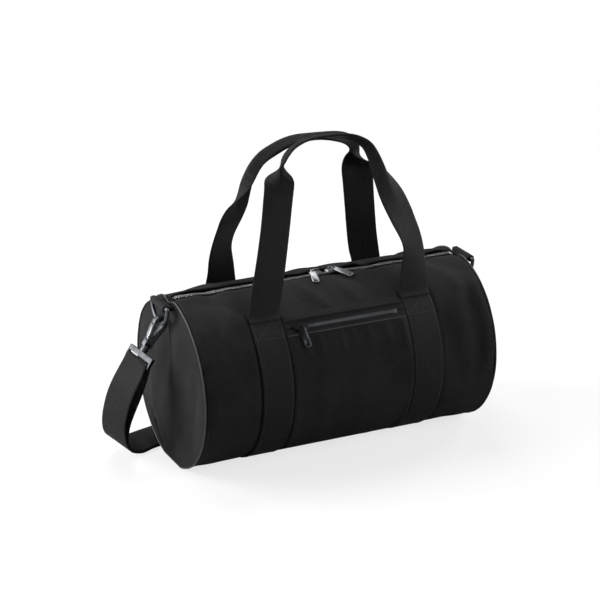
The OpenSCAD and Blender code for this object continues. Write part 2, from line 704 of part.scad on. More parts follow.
// The turn of the webbing over a lower eye bar, from one side of it to the other
function bar_wrap(frame, sense) = [for (k = [0 : wrap_steps])
    let (a = 180 * k / wrap_steps, n = frame[2] * (-sense * cos(a)) + frame[3] * sin(a))
        [frame[0] + n * wrap_r, frame[1], n, web_w, web_t]];

// Places of the strap's route points and of its way through the adjuster
function route_place(s, bar) = [s.x * half_len + s.y * strap_reach, s.z * body_r,
    strap_lift + s[3] * (bar[0].z - strap_lift)];
function start_places() = [for (s = strap_start_shares) route_place(s, bar_frame(-1))];
function end_places() = [for (s = strap_end_shares) route_place(s, bar_frame(1))];
function adjuster_place(x, z) = [adjuster_x_share * body_r + x, adjuster_y_share * body_r, adjuster_z + z];
function adjuster_places() = [for (i = [0 : len(adjuster_shares) - 1])
    adjuster_place(adjuster_shares[i] * adjuster_half,
        bar_seat - (1 - adjuster_drop_shares[i]) * (2 * bar_seat + layer_step))];

function strap_points() =
    let (left = bar_frame(-1), right = bar_frame(1))
        concat([left[0] + left[2] * wrap_r], start_places(), adjuster_places(), end_places(),
            [right[0] + right[2] * wrap_r]);
function strap_widths() = concat([bar_frame(-1)[1]], [for (s = strap_start_shares) s[4]],
    [for (s = adjuster_shares) [0, -1, 0]], [for (s = strap_end_shares) s[4]], [bar_frame(1)[1]]);

function main_stations() =
    let (p = smooth(strap_points(), route_steps), w = smooth(strap_widths(), route_steps))
        [for (i = [0 : len(p) - 1]) station(p[i], heading(p, i), w[i], web_w, web_t)];

// The returning layer: its sewn tail under the adjuster's middle bar, the turn round that bar, the way back
// to the left eye along the main layer
function tail_stations() =
    let (tail = [for (i = [1 : -1 : 0]) adjuster_place(adjuster_tail_shares[i].x * adjuster_half,
            adjuster_tail_shares[i].y * bar_seat)],
        turn = [for (k = [0 : wrap_steps]) let (a = 180 * k / wrap_steps)
            adjuster_place(bar_seat * sin(a), -bar_seat * cos(a))],
        over = adjuster_places(),
        back = [over[5] + [0, 0, layer_step + 2 * web_t], over[4] + [0, 0, 2 * layer_step]],
        all = concat(tail, turn, back))
        [for (i = [0 : len(all) - 1]) station(all[i], heading(all, i), [0, -1, 0], web_w, web_t)];
function return_stations() =
    let (main = main_stations(), gaps = smooth(concat([2 * wrap_r], web_t * return_gap_shares), route_steps),
        last = len(gaps) - 1)
        [for (i = [last : -1 : 1]) let (s = main[i]) [s[0] - s[2] * gaps[i], s[1], -s[2], web_w, web_t]];

// The sewn end lies against the main layer below the right eye
function sewn_end_stations() =
    let (main = main_stations(), last = len(main) - 1)
        [for (k = [1 : sewn_end_points * 2]) let (s = main[last - k],
            gap = k == 1 ? 2 * wrap_r : k < sewn_end_points ? wrap_r + web_t : layer_step)
            [s[0] - s[2] * gap, s[1], -s[2], web_w, web_t]];

module shoulder_strap() {
    main = main_stations();
    color("#1f1f21") webbing(concat(tail_stations(), return_stations(), bar_wrap(bar_frame(-1), 1),
        [for (i = [1 : len(main) - 2]) main[i]], bar_wrap(bar_frame(1), -1), sewn_end_stations()));
}

module strap_adjuster() {
    frame_w = web_w + 2 * turn_gap + 2 * adjuster_side_t;
    color("#35363a") translate(adjuster_place(0, 0)) {
        for (x = [-1, 0, 1]) translate([x * adjuster_half, 0, 0]) rotate([90, 0, 0])
            cylinder(r = adjuster_bar_r, h = frame_w - adjuster_side_t, center = true);
        for (y = [-1, 1]) translate([0, y * (frame_w - adjuster_side_t) / 2, 0])
            cube([adjuster_len, adjuster_side_t, 2 * adjuster_bar_r], center = true);
    }
}

function edge_angle(y, r) = asin(y / r);
zip_in = edge_angle(chain_w / 2 + sewn_gap, zip_r);
zip_out = edge_angle(tape_w + row_gap / 2, zip_r);
pocket_in = edge_angle(pocket_chain_w / 2 + sewn_gap, pocket_r);

main_panel();
end_panel(-1);  // end_panel_left
end_panel(1);  // end_panel_right
seam_binding(-1);  // seam_binding_left
seam_binding(1);  // seam_binding_right
band(-1);  // band_left
band(1);  // band_right
zip_tape(zip_in, zip_out);  // zip_tape_front
zip_tape(-zip_out, -zip_in);  // zip_tape_rear
zip_teeth(-1);  // zip_teeth_front
zip_teeth(1);  // zip_teeth_rear
zip_stops();
zip_slider_left();
zip_slider_right();
zip_pull_left();
zip_pull_right();
pocket_panel();
pocket_welt();
pocket_tape(tape_upper_angle, pocket_zip_angle - pocket_in);  // pocket_tape_upper
pocket_tape(pocket_zip_angle + pocket_in, tape_lower_angle);  // pocket_tape_lower
pocket_teeth(1);  // pocket_teeth_upper
pocket_teeth(-1);  // pocket_teeth_lower
pocket_zip_stops();
pocket_zip_slider();
pocket_zip_pull();
handle_front();
handle_rear();
ring_tab(-1);  // ring_tab_left
ring_tab(1);  // ring_tab_right
d_ring(-1);  // d_ring_left
d_ring(1);  // d_ring_right
hook_body(-1);  // hook_body_left
hook_body(1);  // hook_body_right
hook_gate(-1);  // hook_gate_left
hook_gate(1);  // hook_gate_right
gate_pin(-1);  // gate_pin_left
gate_pin(1);  // gate_pin_right
gate_spring(-1);  // gate_spring_left
gate_spring(1);  // gate_spring_right
strap_eye(-1);  // strap_eye_left
strap_eye(1);  // strap_eye_right
shoulder_strap();
strap_adjuster();
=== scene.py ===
"""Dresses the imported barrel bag: cloth body, webbing, zips, stitching, metal fittings, light and camera."""

import logging
import math
from dataclasses import dataclass, field
from enum import Enum
from typing import Callable, Iterable, Sequence

import bmesh
import bpy
from mathutils import Matrix, Vector, noise


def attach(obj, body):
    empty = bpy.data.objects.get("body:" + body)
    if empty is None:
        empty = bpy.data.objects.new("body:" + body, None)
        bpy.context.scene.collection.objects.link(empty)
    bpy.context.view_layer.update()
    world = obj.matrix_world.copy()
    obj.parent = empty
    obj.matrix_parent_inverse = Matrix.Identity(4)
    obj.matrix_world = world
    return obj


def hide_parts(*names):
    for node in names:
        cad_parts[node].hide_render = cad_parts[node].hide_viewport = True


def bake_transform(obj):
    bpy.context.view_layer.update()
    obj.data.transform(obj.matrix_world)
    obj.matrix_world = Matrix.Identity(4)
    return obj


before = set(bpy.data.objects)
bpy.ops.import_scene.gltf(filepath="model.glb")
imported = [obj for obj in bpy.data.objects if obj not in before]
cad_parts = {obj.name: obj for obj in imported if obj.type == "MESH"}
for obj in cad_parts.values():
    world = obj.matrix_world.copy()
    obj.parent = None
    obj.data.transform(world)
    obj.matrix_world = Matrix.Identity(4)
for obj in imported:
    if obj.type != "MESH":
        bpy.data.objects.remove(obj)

LOG = logging.getLogger("barrel_bag")
MM = 0.001
CLOTH_MAP = "cloth"
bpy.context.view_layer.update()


class Named(Enum):
    """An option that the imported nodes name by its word."""

    @property
    def word(self) -> str:
        """The option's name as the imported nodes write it."""
        return self.name.lower()


class Side(Named):
    """An end of the bag, by the sign of its X."""

    LEFT = -1
    RIGHT = 1


class Face(Named):
    """The front or the rear of the bag, by the sign of its Y."""

    FRONT = -1
    REAR = 1


class Weave(Enum):
    """How the threads of a cloth cross."""

    PLAIN = "plain"
    RIBBED = "ribbed"
    TAPE = "tape"


@dataclass(frozen=True)
class BagSizes:
    """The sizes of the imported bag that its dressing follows, in millimetres."""

    half_len: float = 182.0
    panel_half: float = 180.5
    body_r: float = 100.0
    girth: float = 628.3
    axis_z: float = 98.0
    fabric_t: float = 1.5
    web_w: float = 38.0
    web_t: float = 1.6
    band_x: float = 94.0
    foot_angle: float = 35.0
    zip_r: float = 97.95
    ring_x: float = 193.0
    cross_seam_half: float = 16.5


BAG = BagSizes()


# ---- Small maths -----------------------------------------------------------------------------------


def ease(low: float, high: float, value: float) -> float:
    """A smooth step from 0 at low to 1 at high."""
    share = max(0.0, min(1.0, (value - low) / (high - low)))
    return share * share * (3 - 2 * share)


def bell(distance: float, width: float) -> float:
    """A smooth hump of height 1 that fades over width."""
    return math.exp(-((distance / width) ** 2))


def ripple(x: float, y: float, seed: float) -> float:
    """Smooth repeatable noise from about -1 to 1."""
    return noise.noise(Vector((x, y, seed)))


def smooth_rows(rows: Sequence[Sequence[float]], steps: int) -> list[tuple[float, ...]]:
    """Passes a smooth curve through rows of numbers.

    Args:
        rows: The rows that the curve goes through.
        steps: How many rows to make for each one given.

    Returns:
        The rows of the smooth curve.
    """
    made: list[tuple[float, ...]] = []
    last = len(rows) - 1
    for i in range(last):
        a, b, c, d = (rows[max(0, min(last, i + k))] for k in (-1, 0, 1, 2))
        for k in range(steps):
            t = k / steps
            made.append(tuple(
                q + t * (r - p) / 2 + t * t * (2 * p - 5 * q + 4 * r - s) / 2 + t ** 3 * (3 * q - p - 3 * r + s) / 2
                for p, q, r, s in zip(a, b, c, d)))
    made.append(tuple(rows[last]))
    return made


def on_body(x: float, angle: float, radius: float, lift: float = 0.0) -> Vector:
    """A point round the bag's axis, pressed flat underneath.

    Args:
        x: Place along the bag in millimetres.
        angle: Angle from the top towards the front in degrees.
        radius: Distance from the axis in millimetres.
        lift: Least height above the floor in millimetres.

    Returns:
        The point in millimetres.
    """
    turn = math.radians(angle)
    height = BAG.axis_z + radius * math.cos(turn)
    return Vector((x, -radius * math.sin(turn), max(lift, height)))


def outward(angle: float) -> Vector:
    """The direction away from the bag's axis at an angle from the top towards the front."""
    turn = math.radians(angle)
    return Vector((0.0, -math.sin(turn), math.cos(turn)))


def off_band(x: float) -> float:
    """Distance from the nearer band's middle line."""
    return abs(abs(x) - BAG.band_x)


def zip_sag(x: float) -> float:
    """How far the main zip sags; it stays straight where the sliders stop.

    Args:
        x: Place along the bag in millimetres.

    Returns:
        The sag in millimetres.
    """
    calm = (1 - bell(x - 9, 26)) * (1 - 0.8 * bell(abs(x) - 156, 13))
    waves = 1.2 * bell(x - 62, 17) + 1.4 * bell(x + 138, 13) + 0.8 * bell(x + 58, 20) + 0.9 * bell(x - 116, 15)
    return calm * (0.2 + waves) + 5.5 * ease(170, 183, abs(x)) ** 2


def end_dip(angle: float) -> float:
    """How far the ends and their seams dip where the zip runs into them."""
    return 6.4 * bell((angle + 180) % 360 - 180, 6)


def rim_drop(side: Side, angle: float) -> float:
    """How far the left end's rim slumps behind the D-ring's tab; the right end keeps its round."""
    return 5.5 * bell(360 - angle % 360 - 31, 17) if side is Side.LEFT else 0.0


# ---- Finishes --------------------------------------------------------------------------------------


def srgb(code: str) -> tuple[float, float, float, float]:
    """Turns an sRGB hex colour into a shader's colour.

    Args:
        code: The colour as #rrggbb.

    Returns:
        Linear red, green and blue, and an alpha of 1.
    """
    parts = [int(code[i:i + 2], 16) / 255 for i in (1, 3, 5)]
    linear = [c / 12.92 if c <= 0.04045 else ((c + 0.055) / 1.055) ** 2.4 for c in parts]
    return (*linear, 1.0)


class Shading:
    """The node tree of a new material or surround, with short names for the nodes that the finishes share."""

    def __init__(self, owner: bpy.types.Material | bpy.types.World) -> None:
        """Empties the tree of a new material or world.

        Args:
            owner: The material or the world.
        """
        owner.use_nodes = True
        self.owner, self.tree = owner, owner.node_tree
        self.tree.nodes.clear()

    def add(self, kind: str, inputs: dict[str | int, object], output: str | int = 0,
            **settings: object) -> bpy.types.NodeSocket | None:
        """Adds one node with its settings and links.

        Args:
            kind: The node's type, without its first words.
            inputs: A value or an output socket for each named or numbered input.
            output: The output that is wanted, by name or number.
            **settings: Attributes of the node.

        Returns:
            The output socket, or None where the node has none.
        """
        node = self.tree.nodes.new("ShaderNode" + kind)
        for key, value in settings.items():
            setattr(node, key, value)
        for key, value in inputs.items():
            if isinstance(value, bpy.types.NodeSocket):
                self.tree.links.new(value, node.inputs[key])
            else:
                node.inputs[key].default_value = value
        return node.outputs[output] if node.outputs else None

    def math(self, operation: str, *values: object) -> bpy.types.NodeSocket:
        """A sum over sockets and numbers."""
        return self.add("Math", dict(enumerate(values)), operation=operation)

    def noise(self, scale: float, detail: float, roughness: float = 0.5) -> bpy.types.NodeSocket:
        """Soft noise over the object's own coordinates, with its features counted per metre."""
        return self.add("TexNoise", {"Vector": self.add("TexCoord", {}, "Object"), "Scale": scale, "Detail": detail,
                                     "Roughness": roughness})

    def mix(self, share: bpy.types.NodeSocket, low: str, high: str) -> bpy.types.NodeSocket:
        """A colour between two sRGB hex colours."""
        return self.add("Mix", {0: share, 6: srgb(low), 7: srgb(high)}, 2, data_type="RGBA")

    def bump(self, strength: float, reach_mm: float, height: bpy.types.NodeSocket,
             **over: bpy.types.NodeSocket) -> bpy.types.NodeSocket:
        """Relief from a height; Normal=socket lays it over another relief."""
        return self.add("Bump", {"Strength": strength, "Distance": reach_mm * MM, "Height": height, **over})

    def surface(self, inputs: dict[str | int, object]) -> bpy.types.Material:
        """Closes the tree with a surface shader and gives the finished material."""
        self.add("OutputMaterial", {0: self.add("BsdfPrincipled", inputs)})
        return self.owner


@dataclass(frozen=True)
class WovenFinish:
    """A woven polyester cloth or webbing, dyed in the yarn, so that its colour is even and its gloss is low.

    The threads are drawn coarser than the real 0.4 mm, because those are finer than the picture shows.
    """

    name: str
    color: str
    high_color: str
    weave: Weave
    thread_mm: float
    bump_mm: float
    roughness: float
    specular: float
    crease_mm: float = 0.0

    def threads(self, shading: Shading) -> bpy.types.NodeSocket:
        """Height of the threads over the cloth's own map, which is in metres.

        Args:
            shading: The material's nodes.

        Returns:
            The socket that carries the height, from about -1 to 1.
        """
        u = shading.add("SeparateXYZ", {0: shading.add("UVMap", {}, uv_map=CLOTH_MAP)})
        v = u.node.outputs[1]
        rate = 2 * math.pi / (self.thread_mm * MM)

        def wave(source: bpy.types.NodeSocket, share: float) -> bpy.types.NodeSocket:
            """A sine over the cloth at a share of the thread rate."""
            return shading.math("SINE", shading.math("MULTIPLY", source, rate * share))

        if self.weave is Weave.PLAIN:
            return shading.math("MULTIPLY", wave(u, 1.0), wave(v, 1.0))
        if self.weave is Weave.TAPE:
            return wave(shading.math("ADD", u, v), 1.0)
        return shading.math("ADD", wave(u, 0.5), shading.math("MULTIPLY", wave(u, 1.0), wave(v, 0.5)))

    def material(self) -> bpy.types.Material:
        """Makes the finish.

        Returns:
            The material.
        """
        shading = Shading(bpy.data.materials.new(self.name))
        threads = self.threads(shading)
        cloud, fuzz = shading.noise(16.0, 4.0, 0.6), shading.noise(520.0, 2.0, 0.7)
        mixed = shading.math("MULTIPLY_ADD", fuzz, 0.9, shading.math("MULTIPLY_ADD", threads, 0.12, cloud))
        tone = shading.add("MapRange", {"Value": mixed, "From Min": 0.6, "From Max": 1.3})
        relief = shading.bump(0.8, self.bump_mm, shading.math("MULTIPLY_ADD", fuzz, 0.8, threads))
        if self.crease_mm:
            relief = shading.bump(1.0, self.crease_mm, shading.noise(42.0, 3.0, 0.55), Normal=relief)
        return shading.surface({"Base Color": shading.mix(tone, self.color, self.high_color),
                                "Roughness": self.roughness, "Specular IOR Level": self.specular, "Normal": relief})


@dataclass(frozen=True)
class MetalFinish:
    """A cast or stamped and plated metal: barrelled smooth, so its gloss is soft and slightly uneven."""

    name: str
    color: str
    worn_color: str
    roughness: float
    grain_mm: float = 0.01

    def material(self) -> bpy.types.Material:
        """Makes the finish.

        Returns:
            The material.
        """
        shading = Shading(bpy.data.materials.new(self.name))
        cloud = shading.noise(140.0, 5.0, 0.65)
        gloss = shading.add("MapRange", {"Value": cloud, "To Min": self.roughness * 0.75,
                                         "To Max": self.roughness * 1.3})
        return shading.surface({"Base Color": shading.mix(cloud, self.color, self.worn_color), "Metallic": 1.0,
                                "Roughness": gloss, "Normal": shading.bump(0.5, self.grain_mm,
                                                                           shading.noise(900.0, 2.0))})


@dataclass(frozen=True)
class ThreadFinish:
    """Twisted polyester sewing thread, a little glossier than the cloth it lies on."""

    name: str
    color: str

    def material(self) -> bpy.types.Material:
        """Makes the finish."""
        shading = Shading(bpy.data.materials.new(self.name))
        return shading.surface({"Base Color": srgb(self.color), "Roughness": 0.6, "Specular IOR Level": 0.4,
                                "Normal": shading.bump(0.4, 0.1, shading.noise(1500.0, 1.0))})


class Wardrobe:
    """Every finish of the bag, made once and handed to the pieces."""

    def __init__(self) -> None:
        """Makes the materials."""
        # Coated polyester canvas: a matt black plain weave with soft creases
        self.canvas = WovenFinish("polyester_canvas_woven", "#0d0d0e", "#1d1d1e", Weave.PLAIN, 1.1, 0.2,
                                  0.8, 0.07, crease_mm=0.9).material()
        # Polyester webbing: denser than the canvas, with ribs along it
        self.webbing = WovenFinish("polyester_webbing_woven", "#080808", "#121213", Weave.RIBBED, 0.95, 0.2,
                                   0.62, 0.1).material()
        # The same canvas on the end seam ridges, made paler: a painted highlight, so the ridges read as lit lines
        self.turned_edge = WovenFinish("polyester_canvas_turned", "#161617", "#242425", Weave.PLAIN, 1.1, 0.1,
                                       0.6, 0.3).material()
        # Tape of the pocket's zip, faded like the canvas
        self.pocket_tape = WovenFinish("zip_tape_pocket_woven", "#0f0f10", "#1c1c1d", Weave.TAPE, 1.2, 0.15,
                                       0.8, 0.1).material()
        # Narrow woven tape: the darkest of the cloths
        self.tape = WovenFinish("zip_tape_woven", "#070707", "#101011", Weave.TAPE, 1.2, 0.1, 0.9, 0.05).material()
        # Zinc zip teeth and stops of the main zip, plated bright
        self.teeth = MetalFinish("zip_teeth_bright_plated", "#dcdddd", "#a9abad", 0.24).material()
        # The pocket's teeth, slider and pull: nickel plate blackened in the bath
        self.dark_teeth = MetalFinish("zip_teeth_blackened", "#5c5e61", "#2e3033", 0.45).material()
        self.black_nickel = MetalFinish("zinc_black_nickel_plated", "#2a2b2d", "#1c1d1f", 0.45).material()
        # Zinc castings of the rings and hooks in dark nickel plate
        self.dark_nickel = MetalFinish("zinc_dark_nickel_plated", "#54565a", "#3d3f42", 0.5).material()
        # The strap's eyes and adjuster, plated a shade darker
        self.eye_nickel = MetalFinish("zinc_nickel_darkened", "#363739", "#27282a", 0.45).material()
        # Gates, main sliders and pulls carry a paler nickel
        self.pale_nickel = MetalFinish("zinc_pale_nickel_plated", "#77797b", "#5c5e60", 0.42).material()
        # Hard drawn wire of the gates' springs, left bare
        self.spring = MetalFinish("spring_steel_drawn", "#9a9c9e", "#7c7e80", 0.35).material()
        # Black thread for the seams, and grey thread that shows on the pocket's edge
        self.thread = ThreadFinish("polyester_thread_twisted", "#1b1b1b").material()
        self.pale_thread = ThreadFinish("polyester_thread_grey", "#4c4c4d").material()


# ---- Mesh helpers ----------------------------------------------------------------------------------


def add_object(name: str, data: bpy.types.ID) -> bpy.types.Object:
    """Puts a mesh, a light or a camera into the scene.

    Args:
        name: The object's name.
        data: What it shows.

    Returns:
        The new object.
    """
    made = bpy.data.objects.new(name, data)
    bpy.context.scene.collection.objects.link(made)
    return made


def cloth_grid(width: float, length: float, columns: int, rows: int,
               place: Callable[[float, float], Vector]) -> bmesh.types.BMesh:
    """Cuts a flat cloth and lays it on a shape.

    Args:
        width: Size across in millimetres.
        length: Size along in millimetres.
        columns: Faces across.
        rows: Faces along.
        place: Takes a flat point, counted from the cloth's middle, to its place in millimetres.

    Returns:
        The laid cloth, one face thick, with its flat size in its own map in metres.
    """
    bm = bmesh.new()
    layer = bm.loops.layers.uv.new(CLOTH_MAP)
    bmesh.ops.create_grid(bm, x_segments=columns, y_segments=rows, size=0.5)
    for face in bm.faces:
        for loop in face.loops:
            loop[layer].uv = (loop.vert.co.x * width * MM, loop.vert.co.y * length * MM)
    for vert in bm.verts:
        vert.co = place(vert.co.x * width, vert.co.y * length)
    return bm


def finish_piece(name: str, bm: bmesh.types.BMesh, material: bpy.types.Material, body: str,
                 replaces: Iterable[str] = (), smooth: bool = True,
                 ride: bool = True) -> bpy.types.Object:
    """Turns a bmesh in millimetres into a piece of the bag.

    Args:
        name: The piece's name.
        bm: Its shape in millimetres, which is used up.
        material: Its finish.
        body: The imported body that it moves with.
        replaces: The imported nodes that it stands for.
        smooth: Whether its faces are shaded smooth.
        ride: Whether it rides on the body at once.

    Returns:
        The new object.
    """
    bmesh.ops.recalc_face_normals(bm, faces=bm.faces)
    bmesh.ops.scale(bm, vec=Vector((MM, MM, MM)), verts=bm.verts)
    mesh = bpy.data.meshes.new(name)
    bm.to_mesh(mesh)
    bm.free()
    mesh.materials.append(material)
    mesh.polygons.foreach_set("use_smooth", [smooth] * len(mesh.polygons))
    piece = add_object(name, mesh)
    if ride:
        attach(piece, body)
    if replaces:
        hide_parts(*replaces)
    LOG.info("%s: %d faces on %s", name, len(mesh.polygons), body)
    return piece


def thicken(piece: bpy.types.Object, thickness: float, out: Vector | None = None, both: bool = False) -> None:
    """Gives a one-face cloth its thickness, which grows away from its outer face.

    Args:
        piece: The cloth.
        thickness: Its thickness in millimetres.
        out: The way out at the cloth's middle face; without it, away from the bag's axis.
        both: Whether it grows half to each side instead.
    """
    face = piece.data.polygons[len(piece.data.polygons) // 2]
    away = out or Vector((0, face.center.y, face.center.z - BAG.axis_z * MM))
    solid = piece.modifiers.new("thickness", "SOLIDIFY")
    solid.thickness = thickness * MM
    solid.offset = 0.0 if both else -1.0 if away.dot(face.normal) > 0 else 1.0
    solid.use_even_offset = True


def scatter(template: bmesh.types.BMesh, places: Iterable[Matrix]) -> bmesh.types.BMesh:
    """Repeats a small shape at many places.

    Args:
        template: The shape, which is used up.
        places: Where each copy goes.

    Returns:
        All copies together.
    """
    mesh = bpy.data.meshes.new("template")
    template.to_mesh(mesh)
    template.free()
    made = bmesh.new()
    for place in places:
        mesh.transform(place)
        made.from_mesh(mesh)
        mesh.transform(place.inverted())
    bpy.data.meshes.remove(mesh)
    return made


def tooth_shape(size: Sequence[float], edge: float) -> bmesh.types.BMesh:
    """One zip tooth: a clamped block with rounded edges.

    Args:
        size: Its length along the zip, its width and its height in millimetres.
        edge: Width of the rounding.

    Returns:
        The tooth round its own middle.
    """
    bm = bmesh.new()
    bmesh.ops.create_cube(bm, size=1.0)
    bmesh.ops.scale(bm, vec=Vector(size), verts=bm.verts)
    bmesh.ops.bevel(bm, geom=bm.edges[:], offset=edge, offset_type="OFFSET", segments=1, profile=0.5,
                    affect="EDGES", material=-1)
    return bm


@dataclass(frozen=True)
class Stitching:
    """How a line is sewn: a stitch's length, the gap after it and half the thread's thickness, in millimetres."""

    length: float
    gap: float
    radius: float = 0.3

    def run(self, line: Sequence[tuple[Vector, Vector]]) -> list[Matrix]:
        """Steps along a line.

        Args:
            line: Points on the cloth, each with the way out of it.

        Returns:
            A placement for each stitch, with its X along the line.
        """
        places: list[Matrix] = []
        travelled, due = 0.0, self.length / 2
        for (a, out_a), (b, out_b) in zip(line, line[1:]):
            span = (b - a).length
            while span > 0 and due <= travelled + span:
                share = (due - travelled) / span
                x = (b - a).normalized()
                y = out_a.lerp(out_b, share).normalized().cross(x).normalized()
                turn = Matrix((x, y, x.cross(y))).transposed().to_4x4()
                places.append(Matrix.Translation(a.lerp(b, share)) @ turn)
                due += self.length + self.gap
            travelled += span
        return places

    def sew(self, lines: Iterable[Sequence[tuple[Vector, Vector]]]) -> bmesh.types.BMesh:
        """Sews along several lines.

        Args:
            lines: The lines, as run takes them.

        Returns:
            The stitches.
        """
        stitch = bmesh.new()
        bmesh.ops.create_uvsphere(stitch, u_segments=6, v_segments=4, radius=1.0)
        bmesh.ops.rotate(stitch, verts=stitch.verts, cent=(0, 0, 0), matrix=Matrix.Rotation(math.pi / 2, 3, "Y"))
        bmesh.ops.scale(stitch, vec=Vector((self.length / 2, self.radius, self.radius)), verts=stitch.verts)
        return scatter(stitch, [place for line in lines for place in self.run(line)])


def band_profile(width: float, thick: float, across: int = 12, corner: int = 3) -> list[tuple[float, float]]:
    """The closed outline of a webbing's cut end, its first point repeated last.

    Args:
        width: Width of the webbing.
        thick: Thickness of the webbing.
        across: Faces over each wide side.
        corner: Faces round each selvedge.

    Returns:
        Points as place across and height.
    """
    r = thick / 2
    reach = width / 2 - r
    made: list[tuple[float, float]] = []
    for s in (1, -1):
        made += [(s * (reach - 2 * reach * i / across), s * r) for i in range(across + 1)]
        made += [(-s * (reach + r * math.sin(math.pi * i / corner)), s * r * math.cos(math.pi * i / corner))
                 for i in range(1, corner)]
    return made + [made[0]]


def cross_seam() -> list[float]:
    """Places across a webbing that is stitched from edge to edge, counted from its middle."""
    return [-BAG.cross_seam_half + 2 * BAG.cross_seam_half * i / 12 for i in range(13)]


@dataclass
class Station:
    """One place along a webbing: its centre, the way its width points, the way it faces, and its end outline."""

    point: Vector
    across: Vector
    facing: Vector
    outline: list[tuple[float, float]]

    def place(self, index: int) -> Vector:
        """Where one point of the outline lies."""
        a, h = self.outline[index]
        return self.point + self.across * a + self.facing * h

    def back(self, gap: float) -> "Station":
        """The station of a second layer behind this one, which faces the other way."""
        return Station(self.point - self.facing * gap, self.across, -self.facing, self.outline)


def sweep(stations: Sequence[Station]) -> bmesh.types.BMesh:
    """Runs a webbing through its stations and closes its two ends.

    Args:
        stations: The stations, each with as many outline points as the others.

    Returns:
        The closed webbing.
    """
    count, last = len(stations[0].outline) - 1, len(stations) - 1
    length = sum((b.point - a.point).length for a, b in zip(stations, stations[1:]))
    girth = sum(math.dist(a, b) for a, b in zip(stations[0].outline, stations[0].outline[1:]))
    bm = cloth_grid(girth, length, count, last, lambda u, v: stations[round((v / length + 0.5) * last)].place(
        round((u / girth + 0.5) * count)))
    bmesh.ops.remove_doubles(bm, verts=bm.verts, dist=1e-4)
    bmesh.ops.holes_fill(bm, edges=[e for e in bm.edges if e.is_boundary], sides=0)
    return bm


def refine(stations: Sequence[Station], steps: int) -> list[Station]:
    """Adds stations between those given, on a smooth curve.

    Args:
        stations: The stations, all with one outline.
        steps: How many to make for each one given.

    Returns:
        The smooth row of stations.
    """
    made = []
    for row in smooth_rows([(*s.point, *s.across, *s.facing) for s in stations], steps):
        across, facing = Vector(row[3:6]).normalized(), Vector(row[6:9])
        facing = (facing - across * facing.dot(across)).normalized()
        made.append(Station(Vector(row[:3]), across, facing, stations[0].outline))
    return made


def ring_strip(path: Sequence[Vector], width: float, length: float, sides: int, out_r: float, along_r: float,
               rib: float = 0.0) -> bmesh.types.BMesh:
    """Wraps a strip once round a ring of points about the bag's axis.

    Args:
        path: The ring, which ends where it began.
        width: The strip's flat width in millimetres.
        length: The strip's flat length.
        sides: Faces round the line.
        out_r: Its reach away from the axis.
        along_r: Its reach along X.
        rib: The share by which that reach ripples.

    Returns:
        The closed ring.
    """
    count = len(path) - 1

    def place(u: float, v: float) -> Vector:
        """Lays the flat strip round the line.

        Args:
            u: Place across the strip.
            v: Place along the strip.

        Returns:
            The point in millimetres.
        """
        i, turn = round((v / length + 0.5) * count) % count, 2 * math.pi * (u / width + 0.5)
        out = (path[i] - Vector((path[i].x, 0, BAG.axis_z))).normalized() * out_r * math.cos(turn)
        return path[i] + out + Vector((along_r * (1 + rib * math.sin(i * 1.7)) * math.sin(turn), 0, 0))

    bm = cloth_grid(width, length, sides, count, place)
    bmesh.ops.remove_doubles(bm, verts=bm.verts, dist=1e-3)
    return bm


@dataclass
class Assembly:
    """Pieces of the bag that are built together and share its finishes."""

    wardrobe: Wardrobe

    def build(self) -> None:
        """Builds the pieces."""
        raise NotImplementedError

    def stitches(self, name: str, style: Stitching, lines: Iterable[Sequence[tuple[Vector, Vector]]],
                 body: str = "bag", slot: str = "webbing", turn: Matrix | None = None,
                 thread: bpy.types.Material | None = None) -> None:
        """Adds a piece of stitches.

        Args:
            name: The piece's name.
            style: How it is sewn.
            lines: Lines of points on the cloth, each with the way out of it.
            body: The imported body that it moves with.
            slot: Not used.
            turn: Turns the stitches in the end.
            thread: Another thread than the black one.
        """
        bm = style.sew(lines)
        if turn:
            bmesh.ops.transform(bm, matrix=turn, verts=bm.verts)
        finish_piece(name, bm, thread or self.wardrobe.thread, body)

    def cast(self, node: str, width: float, body: str, material: bpy.types.Material) -> None:
        """Shows a packed metal piece again, with its sharp edges broken as a casting's are.

        Args:
            node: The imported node, which the new piece stands for.
            width: Width of the broken edges in millimetres.
            body: The body that it moves with.
            material: Its finish.
        """
        bm = bmesh.new()
        bm.from_mesh(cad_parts[node].data)
        bmesh.ops.scale(bm, vec=Vector((1 / MM,) * 3), verts=bm.verts)
        bmesh.ops.remove_doubles(bm, verts=bm.verts, dist=0.004)
        bmesh.ops.dissolve_limit(bm, angle_limit=math.radians(1), verts=bm.verts, edges=bm.edges)
        piece = finish_piece(node + "_cast", bm, material, body, [node])
        edge = piece.modifiers.new("broken_edges", "BEVEL")
        edge.width = width * MM
        edge.segments = 2
        edge.limit_method = "ANGLE"
        edge.angle_limit = math.radians(35)
        edge.harden_normals = True


# ---- The cloth body --------------------------------------------------------------------------------


@dataclass(frozen=True)
class Fold:
    """A soft ridge or valley in a cloth, in its own two coordinates, with its height, width and fade in mm."""

    start: tuple[float, float]
    end: tuple[float, float]
    height: float
    width: float
    fade: float = 14.0

    def at(self, x: float, y: float) -> float:
        """Height of the fold at a point.

        Args:
            x: The point's first coordinate.
            y: The point's second coordinate.

        Returns:
            The height in millimetres.
        """
        dx, dy = self.end[0] - self.start[0], self.end[1] - self.start[1]
        length = math.hypot(dx, dy)
        along = ((x - self.start[0]) * dx + (y - self.start[1]) * dy) / length
        across = ((x - self.start[0]) * dy - (y - self.start[1]) * dx) / length
        return self.height * bell(across, self.width) * bell(max(0.0, -along, along - length), self.fade)


